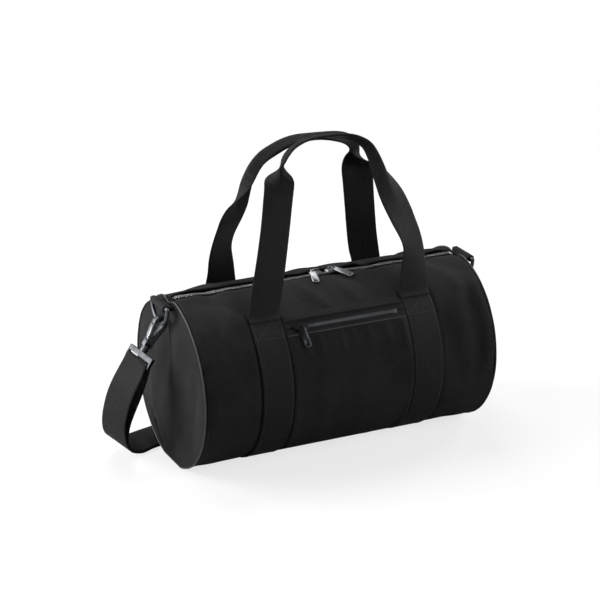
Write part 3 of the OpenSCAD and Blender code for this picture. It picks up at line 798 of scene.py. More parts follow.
@dataclass
class ClothBody(Assembly):
    """The barrel, its two ends, their seams and the bound edges inside."""

    columns: int = 150
    rows: int = 200
    slot_half: float = 5.8
    end_rings: int = 34
    end_steps: int = 150
    seam_r: float = 0.9
    binding_steps: int = 200
    binding_w: float = 12.0
    binding_len: float = 600.0
    binding_out: float = 4.4
    binding_along: float = 1.15
    # Folds of the barrel over (x, arc from the top towards the front), as the photograph shows them
    folds: tuple[Fold, ...] = (
        Fold((-146, 16), (-122, 62), 2.0, 7), Fold((-164, 30), (-150, 92), -2.2, 9),
        Fold((-132, 60), (-160, 124), 1.6, 10), Fold((-174, 70), (-168, 170), 1.6, 7),
        Fold((-124, 84), (-133, 170), -1.6, 12), Fold((-52, 12), (-34, 52), -2.0, 6),
        Fold((-40, 14), (-18, 56), 1.7, 6), Fold((-14, 14), (-6, 50), -1.2, 6), Fold((28, 12), (46, 56), -1.8, 7),
        Fold((8, 16), (22, 54), 1.5, 7), Fold((56, 12), (66, 52), 1.3, 6), Fold((148, 66), (140, 136), 2.0, 10),
        Fold((162, 76), (158, 168), -2.2, 8), Fold((174, 60), (172, 150), 1.4, 6),
        Fold((122, 104), (138, 176), -1.6, 10), Fold((122, 24), (156, 64), 1.7, 9),
        Fold((134, 16), (166, 40), -1.6, 8), Fold((-168, 12), (-146, 30), -1.3, 7))
    # Folds of the ends over (y, z)
    left_folds: tuple[Fold, ...] = (
        Fold((8, 170), (4, 132), -2.6, 9, 12), Fold((4, 132), (12, 100), -1.6, 10, 16),
        Fold((-22, 130), (-16, 60), 3.4, 22, 30), Fold((30, 124), (38, 84), 1.6, 11, 16),
        Fold((-34, 160), (-30, 120), 2.2, 14, 16), Fold((58, 34), (34, 6), -4.4, 5, 10),
        Fold((44, 48), (10, 12), 2.6, 8, 12), Fold((66, 128), (48, 74), 2.4, 12, 16),
        Fold((-72, 110), (-58, 40), -2.4, 10, 16), Fold((-46, 60), (-10, 22), -2.0, 8, 12))
    right_folds: tuple[Fold, ...] = (
        Fold((-20, 150), (-6, 96), -4.0, 9, 18), Fold((20, 140), (30, 70), 2.6, 12, 20),
        Fold((-50, 60), (-20, 20), -3.2, 7, 14), Fold((50, 40), (20, 16), 2.2, 7, 14),
        Fold((-66, 120), (-52, 70), 2.0, 11, 16))

    def seat(self, x: float, angle: float) -> float:
        """How far the barrel is pressed in below the bands and round the pocket's zip.

        Args:
            x: Place along the bag.
            angle: Angle from the top towards the front.

        Returns:
            The depth in millimetres.
        """
        under_band = ease(20.4, 19.5, off_band(x)) * ease(33.0, 34.5, min(angle, 360 - angle))
        pocket = ease(76, 72, abs(x)) * ease(37, 39, angle) * ease(156, 150, angle)
        zip_hollow = ease(66, 62, abs(x - 1)) * ease(42.8, 43.8, angle) * ease(51.5, 50.5, angle)
        return 1.25 * under_band + 0.5 * pocket + 1.6 * zip_hollow

    def relief(self, x: float, angle: float) -> float:
        """Height of the barrel's creases.

        Args:
            x: Place along the bag.
            angle: Angle from the top towards the front.

        Returns:
            The height in millimetres.
        """
        arc = math.radians(angle) * BAG.body_r
        near_top = bell(min(arc, BAG.girth - arc), 34)
        height = 1.4 * ripple(x / 62, arc / 96, 2.3) + 0.9 * ripple(x / 24, arc / 60, 7.1)
        height += 0.8 * bell(BAG.half_len - abs(x), 16) * ripple(arc / 13, x / 40, 4.4)
        height += 1.4 * near_top * ripple(x / 26, 0.4 * arc / 30, 9.7)
        for fold in self.folds:
            height += fold.at(x, arc) + 0.6 * fold.at(-x + 9, BAG.girth - arc)
        pocket_calm = 1 - 0.8 * ease(80, 70, abs(x)) * ease(34, 40, angle) * ease(160, 150, angle)
        return height * (1 - 0.75 * ease(24, 19, off_band(x))) * pocket_calm

    def barrel_point(self, x: float, angle: float) -> Vector:
        """A point of the barrel's outer face.

        Args:
            x: Place along the bag.
            angle: Angle from the top towards the front.

        Returns:
            The point in millimetres.
        """
        lip = -2.0 * bell(angle - 3.3, 2.6) + 1.1 * bell(360 - angle - 6.5, 2.2)
        radius = BAG.body_r - self.seat(x, angle)
        radius += self.relief(x, angle) - bell(min(angle, 360 - angle), 10) * zip_sag(x) + lip
        radius -= 0.8 * ease(178.5, 181.2, abs(x))
        radius -= rim_drop(Side.LEFT, angle) * ease(-116, -182, x)
        point = on_body(x, angle, radius, 0.25)
        if 150 < angle < 210 and point.z < 3:
            point.z = max(point.z, 0.25 + 1.4 * ease(21.5, 20.0, off_band(x)))
        return point

    def build_barrel(self) -> None:
        """The barrel's cloth, open along the top for the zip; its rear edge gapes where the zip sags."""
        first = math.degrees(math.asin(self.slot_half / BAG.body_r))
        width, length = 2 * BAG.half_len - 1.0, math.radians(360 - 2 * first) * BAG.body_r

        def place(u: float, v: float) -> Vector:
            """Lays the flat cloth round the bag."""
            gape = (1.1 + 0.6 * ripple(u / 40, 1.1, 5.2)) * ease(181, 150, abs(u))
            return self.barrel_point(u, first + (v / length + 0.5) * (360 - 2 * first - gape))

        piece = finish_piece("barrel_cloth", cloth_grid(width, length, self.columns, self.rows, place),
                             self.wardrobe.canvas, "bag", ["main_panel"])
        thicken(piece, BAG.fabric_t)

    def end_point(self, side: Side, y: float, z: float, reach: float, angle: float) -> float:
        """How far an end's cloth stands out.

        Args:
            side: Which end.
            y: Place towards the rear.
            z: Place upwards.
            reach: Share of the radius.
            angle: Angle from the top towards the front.

        Returns:
            The height along X in millimetres.
        """
        folds, seed = (self.left_folds, 3.7) if side is Side.LEFT else (self.right_folds, 8.2)
        height = 2.6 * (1 - reach * reach)
        height += 1.3 * ripple(y / 52, z / 60, seed) + 0.5 * ripple(y / 21, z / 24, seed + 5)
        height += sum(fold.at(y, z) for fold in folds)
        height += 0.6 * bell(1 - reach, 0.14) * ripple(angle / 7, reach * 3, seed + 9)
        return height * (1 - ease(0.93, 1.0, reach)) - 0.4 * ease(0.9, 0.97, reach)

    def build_end(self, side: Side) -> None:
        """One end: a round of cloth, creased by what it hangs from.

        Args:
            side: Which end.
        """
        bm = bmesh.new()
        layer = bm.loops.layers.uv.new(CLOTH_MAP)
        line = [bm.verts.new((0.0, 0.0, (BAG.body_r - 0.3) * i / self.end_rings)) for i in range(self.end_rings + 1)]
        for a, b in zip(line, line[1:]):
            bm.edges.new((a, b))
        bmesh.ops.spin(bm, geom=bm.verts[:] + bm.edges[:], cent=(0, 0, 0), axis=(1, 0, 0), dvec=(0, 0, 0),
                       angle=2 * math.pi, steps=self.end_steps, use_merge=True, use_duplicate=False)
        bmesh.ops.remove_doubles(bm, verts=bm.verts, dist=1e-3)
        for face in bm.faces:
            for loop in face.loops:
                loop[layer].uv = (loop.vert.co.y * MM, loop.vert.co.z * MM)
        for vert in bm.verts:
            y, z = vert.co.y, vert.co.z + BAG.axis_z
            reach, angle = math.hypot(y, z - BAG.axis_z) / BAG.body_r, math.degrees(math.atan2(-y, z - BAG.axis_z))
            x = side.value * (BAG.half_len + self.end_point(side, y, z, reach, angle))
            kept = 1 - rim_drop(side, angle) * ease(0.5, 1.0, reach) / BAG.body_r
            z = BAG.axis_z + kept * (z - BAG.axis_z) - end_dip(angle) * ease(176, 198, z)
            vert.co = Vector((x, y * kept, max(0.25, z)))
        piece = finish_piece(f"end_cloth_{side.word}", bm, self.wardrobe.canvas, "bag",
                             [f"end_panel_{side.word}"])
        thicken(piece, BAG.fabric_t, Vector((side.value, 0, 0)))

    def seam_path(self, side: Side, radius: float, out: float) -> list[Vector]:
        """The line of an end seam.

        Args:
            side: Which end.
            radius: Distance from the axis.
            out: Distance out along X.

        Returns:
            A ring of points that ends where it began.
        """
        made = []
        for i in range(self.end_steps * 2 + 1):
            angle = 360 * i / (self.end_steps * 2)
            reach = radius + 0.35 * ripple(angle / 9, side.value * 3.0, 6.6) - end_dip(angle) - rim_drop(side, angle)
            made.append(on_body(side.value * (BAG.half_len + out), angle, reach, 0.6))
        return made

    def build_seam(self, side: Side) -> None:
        """An end seam: the ridge of turned cloth, its stitches, and the bound edge inside.

        Args:
            side: Which end.
        """
        bm = ring_strip(self.seam_path(side, BAG.body_r + 0.3, -0.1), 1.0, 1.0, 8, self.seam_r, self.seam_r)
        # The ridge wears the paler canvas: a painted highlight along the seam
        finish_piece(f"end_seam_ridge_{side.word}", bm, self.wardrobe.turned_edge, "bag")
        ring = [(p, (p - Vector((p.x, 0, BAG.axis_z))).normalized())
                for p in self.seam_path(side, BAG.body_r + 0.15, -4.6)]
        self.stitches(f"end_seam_stitches_{side.word}", Stitching(2.6, 1.2), [ring], slot="binding_tape")
        turns = [360 * i / self.binding_steps for i in range(self.binding_steps + 1)]
        path = [on_body(side.value * (BAG.panel_half - 1.2), a, BAG.body_r - 5.8 - rim_drop(side, a), 6.2)
                for a in turns]
        bm = ring_strip(path, self.binding_w, self.binding_len, 14, self.binding_out, self.binding_along, 0.05)
        finish_piece(f"binding_roll_{side.word}", bm, self.wardrobe.tape, "bag", [f"seam_binding_{side.word}"])

    def build(self) -> None:
        """Builds the barrel, the ends and their seams."""
        self.build_barrel()
        for side in Side:
            self.build_end(side)
            self.build_seam(side)


# ---- Webbing ---------------------------------------------------------------------------------------


@dataclass
class Bands(Assembly):
    """The two webbing bands sewn round the barrel."""

    rows: int = 220
    stitch_in: float = 2.6
    box_low_angle: float = 51.0
    pocket_low_angle: float = 158.0

    def point(self, x: float, angle: float, lift: float) -> Vector:
        """A point on a band, raised over its middle by a height."""
        wave = 0.25 * ripple(x / 50, angle / 30, 5.5)
        return on_body(x, angle, BAG.body_r + lift + wave, BAG.web_t / 2 + lift)

    def seams(self, x0: float, face: Face) -> list[list[tuple[Vector, Vector]]]:
        """The stitched lines over one half of a band: its edges and the crossed box below a handle's foot.

        Args:
            x0: The band's middle.
            face: Which half.

        Returns:
            The lines, as stitches takes them.
        """
        reach, top, low = BAG.web_w / 2 - self.stitch_in, BAG.foot_angle + 1.2, self.box_low_angle
        flat = [[(s * reach, top + (self.pocket_low_angle - top) * i / 90) for i in range(91)] for s in (-1, 1)]
        flat += [[(-reach + 2 * reach * i / 12, a) for i in range(13)] for a in (top, top + 0.9, low)]
        flat += [[(s * (-reach + 2 * reach * i / 20), top + (low - top) * i / 20) for i in range(21)]
                 for s in (-1, 1)]
        lift = BAG.web_t / 2 + 0.05
        turned = [[(dx, a if face is Face.FRONT else 360 - a) for dx, a in line] for line in flat]
        return [[(self.point(x0 + dx, a, lift), outward(a)) for dx, a in line] for line in turned]

    def build(self) -> None:
        """Builds both bands with their stitches."""
        for side in Side:
            x0, stations = side.value * BAG.band_x, []
            for i in range(self.rows + 1):
                angle = BAG.foot_angle + (360 - 2 * BAG.foot_angle) * i / self.rows
                point = self.point(x0, angle, 0.0)
                facing = Vector((0, 0, -1)) if point.z < 1.0 else outward(angle)
                stations.append(Station(point, Vector((1, 0, 0)), facing, band_profile(BAG.web_w, BAG.web_t)))
            finish_piece(f"band_webbing_{side.word}", sweep(stations), self.wardrobe.webbing, "bag",
                         [f"band_{side.word}"])
            self.stitches(f"band_stitches_{side.word}", Stitching(2.2, 0.9),
                          [line for face in Face for line in self.seams(x0, face)])


@dataclass
class Handle(Assembly):
    """A carry handle: flat webbing at its feet that folds in half lengthwise into the grip.

    Each route row gives a share of the feet's distance, of the rise, of the quarter turn and of the fold.
    """

    face: Face = Face.FRONT
    foot_y: float = 58.677
    foot_z: float = 181.799
    rise: float = 180.0
    grip_w: float = 14.0
    grip_gap: float = 1.0
    square_rise: float = 34.0
    foot_seam_r: float = 102.5
    foot_seam_angles: tuple[float, float] = (36.6, 38.2)
    steps: int = 8
    front_route: tuple[tuple[float, ...], ...] = (
        (-1, 0, 0, 0), (-0.905, 0.15, 0.04, 0), (-0.812, 0.31, 0.08, 0), (-0.72, 0.48, 0.1, 0),
        (-0.642, 0.64, 0.1, 0.02), (-0.595, 0.735, 0.11, 0.08), (-0.565, 0.795, 0.17, 0.42),
        (-0.542, 0.838, 0.5, 0.85), (-0.515, 0.872, 0.85, 1), (-0.46, 0.915, 1, 1), (-0.36, 0.957, 1, 1),
        (-0.2, 0.988, 1, 1), (0, 0.998, 1, 1), (0.22, 0.992, 0.9, 1), (0.43, 0.968, 0.76, 1),
        (0.59, 0.917, 0.6, 0.97), (0.685, 0.835, 0.42, 0.8), (0.778, 0.717, 0.12, 0.42), (0.87, 0.59, -0.08, 0.12),
        (0.965, 0.455, -0.22, 0), (1.05, 0.33, -0.29, 0), (1.07, 0.23, -0.27, 0), (1.04, 0.13, -0.14, 0),
        (1, 0, 0, 0))
    rear_route: tuple[tuple[float, ...], ...] = (
        (-1, 0, 0, 0), (-0.925, 0.12, 0, 0), (-0.86, 0.25, 0, 0), (-0.765, 0.47, 0, 0), (-0.7, 0.62, 0, 0.05),
        (-0.65, 0.72, 0.02, 0.16), (-0.615, 0.79, 0.04, 0.5), (-0.59, 0.84, 0.08, 0.9), (-0.555, 0.88, 0.16, 1),
        (-0.47, 0.92, 0.35, 1), (-0.35, 0.947, 0.6, 1), (-0.18, 0.967, 0.85, 1), (0, 0.977, 0.95, 1),
        (0.2, 0.974, 0.85, 1), (0.36, 0.954, 0.7, 0.96), (0.515, 0.916, 0.55, 0.9), (0.635, 0.873, 0.38, 0.88),
        (0.725, 0.812, 0.2, 0.85), (0.79, 0.73, 0.06, 0.7), (0.853, 0.635, -0.06, 0.38), (0.908, 0.548, -0.15, 0.12),
        (0.965, 0.45, -0.24, 0), (1.03, 0.33, -0.29, 0), (1.05, 0.22, -0.27, 0), (1.02, 0.1, -0.16, 0), (1, 0, 0, 0))
    # Angle and radius of the webbing that is sewn over the band
    foot_line: tuple[tuple[float, float], ...] = (
        (39.8, 100.3), (38.6, 101.3), (37.4, 101.75), (36.4, 101.9), (35.5, 102.3))

    def rows(self) -> list[tuple[float, ...]]:
        """The smooth route of this face's handle."""
        return smooth_rows(self.front_route if self.face is Face.FRONT else self.rear_route, self.steps)

    def outline(self, turn: float, fold: float) -> list[tuple[float, float]]:
        """The webbing's end outline, folded lengthwise and turned on its edge.

        Args:
            turn: Share of the quarter turn: at 1 the folded grip lies level.
            fold: 0 is flat, and 1 is folded in half.

        Returns:
            Closed points as place across and height, like band_profile.
        """
        bend = math.radians(90 * fold)
        half = BAG.web_w / 2 + (self.grip_w - BAG.web_w / 2) * fold
        spin = math.radians(90 * (turn - fold))
        made = []
        for a, h in band_profile(2 * half, BAG.web_t):
            lean = bend * max(-1.0, min(1.0, a / 1.6))
            arm = math.sqrt(a * a + 1.6) - math.sqrt(1.6)
            x = a * math.cos(bend) + math.sin(lean) * h
            y = (half / 2 - arm) * math.sin(bend) + math.cos(lean) * h
            x += math.sin(bend) * (BAG.web_t / 2 + 0.05) * max(-1.0, min(1.0, a / 1.2))
            made.append((x * math.cos(spin) + y * math.sin(spin), y * math.cos(spin) - x * math.sin(spin)))
        return made

    def stations(self) -> list[Station]:
        """The handle's stations over the grip, its heading squared at both feet.

        Returns:
            The stations from the left foot to the right one.
        """
        lean = math.atan((self.foot_y - (self.grip_w + self.grip_gap) / 2) / self.rise)
        up, out = Vector((0, math.sin(lean), math.cos(lean))), Vector((0, -math.cos(lean), math.sin(lean)))
        foot, rows = Vector((0, -self.foot_y, self.foot_z)), self.rows()
        flat = [Vector((BAG.band_x * r[0], self.rise / up.z * r[1])) for r in rows]
        last = len(rows) - 1
        made = []
        for i, row in enumerate(rows):
            heading = (flat[min(last, i + 1)] - flat[max(0, i - 1)]).normalized()
            square = Vector((0, 1 if i < last / 2 else -1))
            t = square.lerp(heading, ease(0.0, self.square_rise, flat[i].y)).normalized()
            side = Vector((t.y, 0, 0)) - up * t.x
            turn = math.radians(90 * max(-1.0, min(0.0, row[2])))
            across = side * math.cos(turn) - out * math.sin(turn)
            facing = out * math.cos(turn) + side * math.sin(turn)
            outline = self.outline(max(0.0, min(1.0, row[2])), max(0.0, min(1.0, row[3])))
            made.append(Station(foot + Vector((flat[i].x, 0, 0)) + up * flat[i].y, across, facing, outline))
        return made

    def with_feet(self, made: list[Station]) -> list[Station]:
        """Adds the short length of webbing by which each leg is sewn over its band.

        Args:
            made: The stations of the handle alone.

        Returns:
            All stations from end to end.
        """
        feet = [[Station(on_body(sign * BAG.band_x, angle, radius), leg.across,
                         outward(angle) if angle > 36 else (outward(angle) + leg.facing).normalized(), leg.outline)
                 for angle, radius in self.foot_line] for leg, sign in ((made[0], -1), (made[-1], 1))]
        return feet[0] + made[1:-1] + feet[1][::-1]

    def build(self) -> None:
        """Builds the handle with the stitches along its grip and over its feet."""
        made = self.stations()
        face, body = self.face.word, f"{self.face.word}_handle"
        turn = Matrix.Rotation(math.pi, 4, "Z") if self.face is Face.REAR else Matrix.Identity(4)
        bm = sweep(self.with_feet(made))
        bmesh.ops.transform(bm, matrix=turn, verts=bm.verts)
        piece = finish_piece(f"handle_webbing_{face}", bm, self.wardrobe.webbing, body, [f"handle_{face}"],
                             ride=False)
        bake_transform(piece)
        grip = [s for s, row in zip(made, self.rows()) if row[2] > 0.8]
        self.stitches(f"grip_stitches_{face}", Stitching(2.4, 1.0), [
            [(s.point - s.facing * (self.grip_w / 2 - 3) + s.across * sign * (BAG.web_t + 0.1), s.across * sign)
             for s in grip] for sign in (-1, 1)], body, turn=turn)
        self.stitches(f"foot_stitches_{face}", Stitching(2.0, 0.7, 0.32), [
            [(on_body(sign * BAG.band_x + dx, angle, self.foot_seam_r), outward(angle)) for dx in cross_seam()]
            for sign in (-1, 1) for angle in self.foot_seam_angles], turn=turn)


@dataclass
class ShoulderStrap(Assembly):
    """The long strap: from the left eye down, behind the bag, up to the right eye, doubled through its adjuster.

    Each route row gives a share of half the bag's length and a distance along X, a share of its radius towards the
    rear, a share of the height, and the way of the webbing's width.
    """

    steps: int = 4
    crook_z: float = 169.7
    hang: float = 0.8
    low_bar_drop: float = 48.6
    wrap_r: float = 3.1
    wrap_steps: int = 8
    lift: float = 4.0
    adjuster: tuple[float, float, float] = (-64.0, 84.0, 5.5)
    adjuster_half: float = 13.3
    seat: float = 2.65
    layer: float = 1.75
    start: tuple[tuple[float, ...], ...] = (
        (-1, -47, -0.01, 0.918, 0.3, -0.94, -0.16), (-1, -56, 0.03, 0.755, 0.36, -0.92, -0.05),
        (-1, -61.5, 0.09, 0.584, 0.36, -0.92, 0.1), (-1, -63, 0.17, 0.388, 0.3, -0.93, 0.18),
        (-1, -58, 0.28, 0.2, 0.2, -0.95, 0.2), (-1, -47, 0.38, 0.075, 0.05, -0.98, 0),
        (-1, -30, 0.47, 0.015, -0.15, -0.97, -0.12), (-1, -10, 0.55, 0.004, -0.25, -0.95, -0.12),
        (-1, 17, 0.64, 0, -0.25, -0.95, -0.12), (-1, 48, 0.74, 0, -0.2, -0.96, -0.08))
    end: tuple[tuple[float, ...], ...] = (
        (0.27, 0, 0.86, 0, 0, -1, 0), (0.5, 0, 0.83, 0, 0.1, -0.97, -0.08), (1, -50, 0.76, 0, 0.2, -0.96, -0.12),
        (1, -16, 0.68, 0, 0.2, -0.96, -0.12), (1, 11, 0.61, 0.02, 0.15, -0.97, -0.15),
        (1, 30, 0.52, 0.128, 0.05, -1, -0.05), (1, 39, 0.41, 0.322, 0, -1, 0), (1, 37, 0.26, 0.551, 0, -1, 0),
        (1, 29, 0.11, 0.771, 0, -1, 0), (1, 23, 0.02, 0.912, 0, -1, 0))
    gaps: tuple[float, ...] = (9, 13, 12, 7, 2.6, 2, 2, 2, 2, 2, 2, 2, 2, 2)
    across_shares: tuple[float, ...] = (-4.2, -3, -2.2, -1.55, -1, -0.5, 0, 0.5, 1, 1.55, 2.2, 3, 4.2)
    drop_shares: tuple[float, ...] = (0.45, 0.6, 0.8, 0.97, 1, 0.48, 0, 0.48, 1, 0.97, 0.8, 0.6, 0.5)
    outline: list[tuple[float, float]] = field(default_factory=lambda: band_profile(BAG.web_w, BAG.web_t))

    def bar(self, side: Side) -> tuple[Vector, Vector, Vector, Vector]:
        """The lower bar of an eye.

        Args:
            side: Which end.

        Returns:
            Its centre, the way of the width, the way out and the way up the hook.
        """
        lean, turn = (34.0, math.radians(-74.0)) if side is Side.LEFT else (-8.0, math.radians(-90.0))
        spin = Matrix.Rotation(math.radians(lean), 3, "Y")
        up, width = spin @ Vector((0, 0, 1)), spin @ Vector((math.cos(turn), math.sin(turn), 0))
        centre = Vector((side.value * BAG.ring_x, 0, self.crook_z)) - up * (self.low_bar_drop + self.hang)
        return centre, width, up.cross(width) * side.value, up

    def wrap(self, side: Side) -> list[Station]:
        """The turn of the webbing over an eye's lower bar.

        Args:
            side: Which end.

        Returns:
            Its stations.
        """
        centre, width, out, up = self.bar(side)
        turns = [math.pi * k / self.wrap_steps for k in range(self.wrap_steps + 1)]
        ways = [out * (side.value * math.cos(a)) + up * math.sin(a) for a in turns]
        return [Station(centre + n * self.wrap_r, width, n, self.outline) for n in ways]

    def at_adjuster(self, x: float, z: float) -> Vector:
        """A place at the adjuster, along the bag and in height."""
        return Vector((self.adjuster[0] + x, self.adjuster[1], self.adjuster[2] + z))

    def over_adjuster(self) -> list[Vector]:
        """The strap's way under and over the adjuster's bars."""
        return [self.at_adjuster(a * self.adjuster_half, self.seat - (1 - d) * (2 * self.seat + self.layer))
                for a, d in zip(self.across_shares, self.drop_shares)]

    def squared(self, points: Sequence[Vector], i: int, width: Vector) -> Station:
        """A station square to a line.

        Args:
            points: The line.
            i: Which of its points.
            width: The way that the webbing's width points, nearly.

        Returns:
            The station.
        """
        t = (points[min(len(points) - 1, i + 1)] - points[max(0, i - 1)]).normalized()
        across = (width - t * width.dot(t)).normalized()
        return Station(points[i], across, t.cross(across), self.outline)

    def routed(self, row: Sequence[float], top: float) -> tuple[float, ...]:
        """A route row as a place and a way of the width, below an eye's height."""
        return (row[0] * BAG.half_len + row[1], row[2] * BAG.body_r, self.lift + row[3] * (top - self.lift), *row[4:])

    def main(self) -> list[Station]:
        """The long layer of the strap.

        Returns:
            Its stations from the left eye to the right one.
        """
        left, right = self.bar(Side.LEFT), self.bar(Side.RIGHT)
        rows = [(*(left[0] + left[2] * self.wrap_r), *left[1]), *(self.routed(r, left[0].z) for r in self.start),
                *((*p, 0, -1, 0) for p in self.over_adjuster()), *(self.routed(r, right[0].z) for r in self.end),
                (*(right[0] + right[2] * self.wrap_r), *right[1])]
        smooth = smooth_rows(rows, self.steps)
        points = [Vector(r[:3]) for r in smooth]
        return [self.squared(points, i, Vector(r[3:6])) for i, r in enumerate(smooth)]

    def tail(self) -> list[Station]:
        """The sewn tail under the adjuster's middle bar and the turn round it.

        Returns:
            Its stations.
        """
        points = [self.at_adjuster(-0.4 * self.adjuster_half, 0.14 * self.seat),
                  self.at_adjuster(-0.2 * self.adjuster_half, -0.74 * self.seat)]
        for k in range(self.wrap_steps + 1):
            a = math.pi * k / self.wrap_steps
            points.append(self.at_adjuster(self.seat * math.sin(a), -self.seat * math.cos(a)))
        over = self.over_adjuster()
        for i in (5, 4):
            points.append(over[i] + Vector((0, 0, (6 - i) * self.layer + (i - 4) * 2 * BAG.web_t)))
        return [self.squared(points, i, Vector((0, -1, 0))) for i in range(len(points))]

    def stations(self) -> list[Station]:
        """Every station of the strap.

        Returns:
            The stations from its tail to its sewn end.
        """
        main = self.main()
        gaps = [g[0] for g in smooth_rows([(2 * self.wrap_r,), *((g,) for g in self.gaps)], self.steps)]
        doubled = [main[i].back(gaps[i]) for i in range(len(gaps) - 1, 0, -1)]
        last = len(main) - 1
        sewn = [main[last - k].back(2 * self.wrap_r if k == 1 else self.wrap_r + BAG.web_t if k < 4 else self.layer)
                for k in range(1, 9)]
        return self.tail() + doubled + self.wrap(Side.LEFT) + main[1:-1] + self.wrap(Side.RIGHT) + sewn

    def build(self) -> None:
        """Builds the strap and the stitches of its sewn end."""
        finish_piece("strap_webbing", sweep(refine(self.stations(), 2)), self.wardrobe.webbing, "strap",
                     ["shoulder_strap"])
        main, lines = self.main(), []
        for s in (main[-6], main[-9]):
            for sign, lift in ((-1, -(BAG.web_t / 2 + self.layer + 0.1)), (1, BAG.web_t / 2 + 0.05)):
                lines.append([(s.point + s.across * dx + s.facing * lift, s.facing * sign) for dx in cross_seam()])
        self.stitches("strap_stitches", Stitching(2.2, 0.8), lines, "strap")


@dataclass
class RingTab(Assembly):
    """A folded tab of webbing that holds a D-ring and runs into the end seam."""

    side: Side = Side.LEFT
    ring_z: float = 192.0
    roll_r: float = 3.3
    flat_len: float = 6.0
    roll_steps: int = 18
    seams: tuple[tuple[float, float], ...] = ((6.0, -0.9), (8.2, -1.6))

    def flat(self, share: float, drop: float, slope: float, facing: Vector) -> tuple[Vector, Vector, float]:
        """A place on the flat part, which narrows into the seam.

        Args:
            share: Place from the seam to the roll.
            drop: How far it starts below the upper layer.
            slope: How far it climbs to the roll.
            facing: The way that it faces.

        Returns:
            The point, the way it faces and the share of the full width.
        """
        x = BAG.half_len - 0.4 + share * self.flat_len
        z = self.ring_z - 1.6 - drop - 1.4 * math.sin(math.pi * share) + slope * share
        return Vector((self.side.value * x, 0, z)), facing, 0.72 + 0.24 * share

    def build(self) -> None:
        """Builds the tab and its cross stitches."""
        s, word, shares = self.side.value, self.side.word, (0.0, 0.35, 0.7)
        path = [self.flat(share, 0.0, 1.2, Vector((-s * 0.2, 0, 1))) for share in shares]
        for k in range(self.roll_steps + 1):
            a = math.radians(-66 + 312 * k / self.roll_steps)
            n = Vector((s * math.sin(a), 0, math.cos(a)))
            path.append((Vector((s * BAG.ring_x, 0, self.ring_z)) + n * self.roll_r, n, 1.0))
        path += [self.flat(share, 1.75, 0.8, Vector((0, 0, -1))) for share in shares[::-1]]
        stations = [Station(p, Vector((0, 1, 0)), n, band_profile(BAG.web_w * w, BAG.web_t, 14)) for p, n, w in path]
        finish_piece(f"ring_tab_webbing_{word}", sweep(stations), self.wardrobe.webbing, "bag",
                     [f"ring_tab_{word}"])
        self.stitches(f"ring_tab_stitches_{word}", Stitching(2.2, 0.8), [
            [(Vector((s * (BAG.ring_x - dx), -14 + 28 * i / 10, self.ring_z + dz + 0.95)), Vector((0, 0, 1)))
             for i in range(11)] for dx, dz in self.seams])


# ---- Zips ------------------------------------------------------------------------------------------


@dataclass
class MainZip(Assembly):
    """The two-way zip along the top: tapes, single teeth and the cast sliders and pulls."""

    pitch: float = 3.0
    tooth: tuple[float, float, float] = (1.3, 3.9, 2.8)
    first_x: float = -180.5
    row_y: float = 1.35
    tape_w: float = 13.0
    tape_half: float = 179.6

    def build_teeth(self, face: Face) -> None:
        """One row of teeth, which leans with the sagging chain.

        Args:
            face: Which row.
        """
        places = []
        for i in range(int(-2 * self.first_x / self.pitch)):
            x = self.first_x + (i + (0.0 if face is Face.FRONT else 0.5)) * self.pitch
            slope = math.atan((zip_sag(x + 1) - zip_sag(x - 1)) / 2)
            at = Vector((x, face.value * self.row_y, BAG.axis_z + BAG.zip_r - zip_sag(x)))
            places.append(Matrix.Translation(at) @ Matrix.Rotation(slope, 4, "Y"))
        finish_piece(f"zip_teeth_row_{face.word}", scatter(tooth_shape(self.tooth, 0.36), places),
                     self.wardrobe.teeth, "bag", [f"zip_teeth_{face.word}"], smooth=False)

    def build_tape(self, face: Face) -> None:
        """One tape with its corded edge under the teeth.

        Args:
            face: Which tape.
        """
        def place(u: float, v: float) -> Vector:
            """Lays the tape beside the chain.

            Args:
                u: Place across the tape.
                v: Place along the tape.

            Returns:
                The point in millimetres.
            """
            across = u + self.tape_w / 2 + 0.9
            cord = 0.35 * bell(across - 3.4, 0.7) - 2.2 * ease(4.2, 6.2, across)
            return on_body(v, -face.value * math.degrees(math.asin(across / BAG.zip_r)), BAG.zip_r + cord - zip_sag(v))

        piece = finish_piece(f"zip_tape_cloth_{face.word}",
                             cloth_grid(self.tape_w, 2 * self.tape_half, 16, 150, place), self.wardrobe.tape, "bag",
                             [f"zip_tape_{face.word}"])
        thicken(piece, 0.7, both=True)

    def build(self) -> None:
        """Builds the tapes and the teeth, and dresses the sliders and pulls."""
        for face in Face:
            self.build_tape(face)
            self.build_teeth(face)
        for side in Side:
            self.cast(f"zip_slider_{side.word}", 0.25, f"slider_{side.word}", self.wardrobe.pale_nickel)
            self.cast(f"zip_pull_{side.word}", 0.22, f"pull_{side.word}", self.wardrobe.pale_nickel)


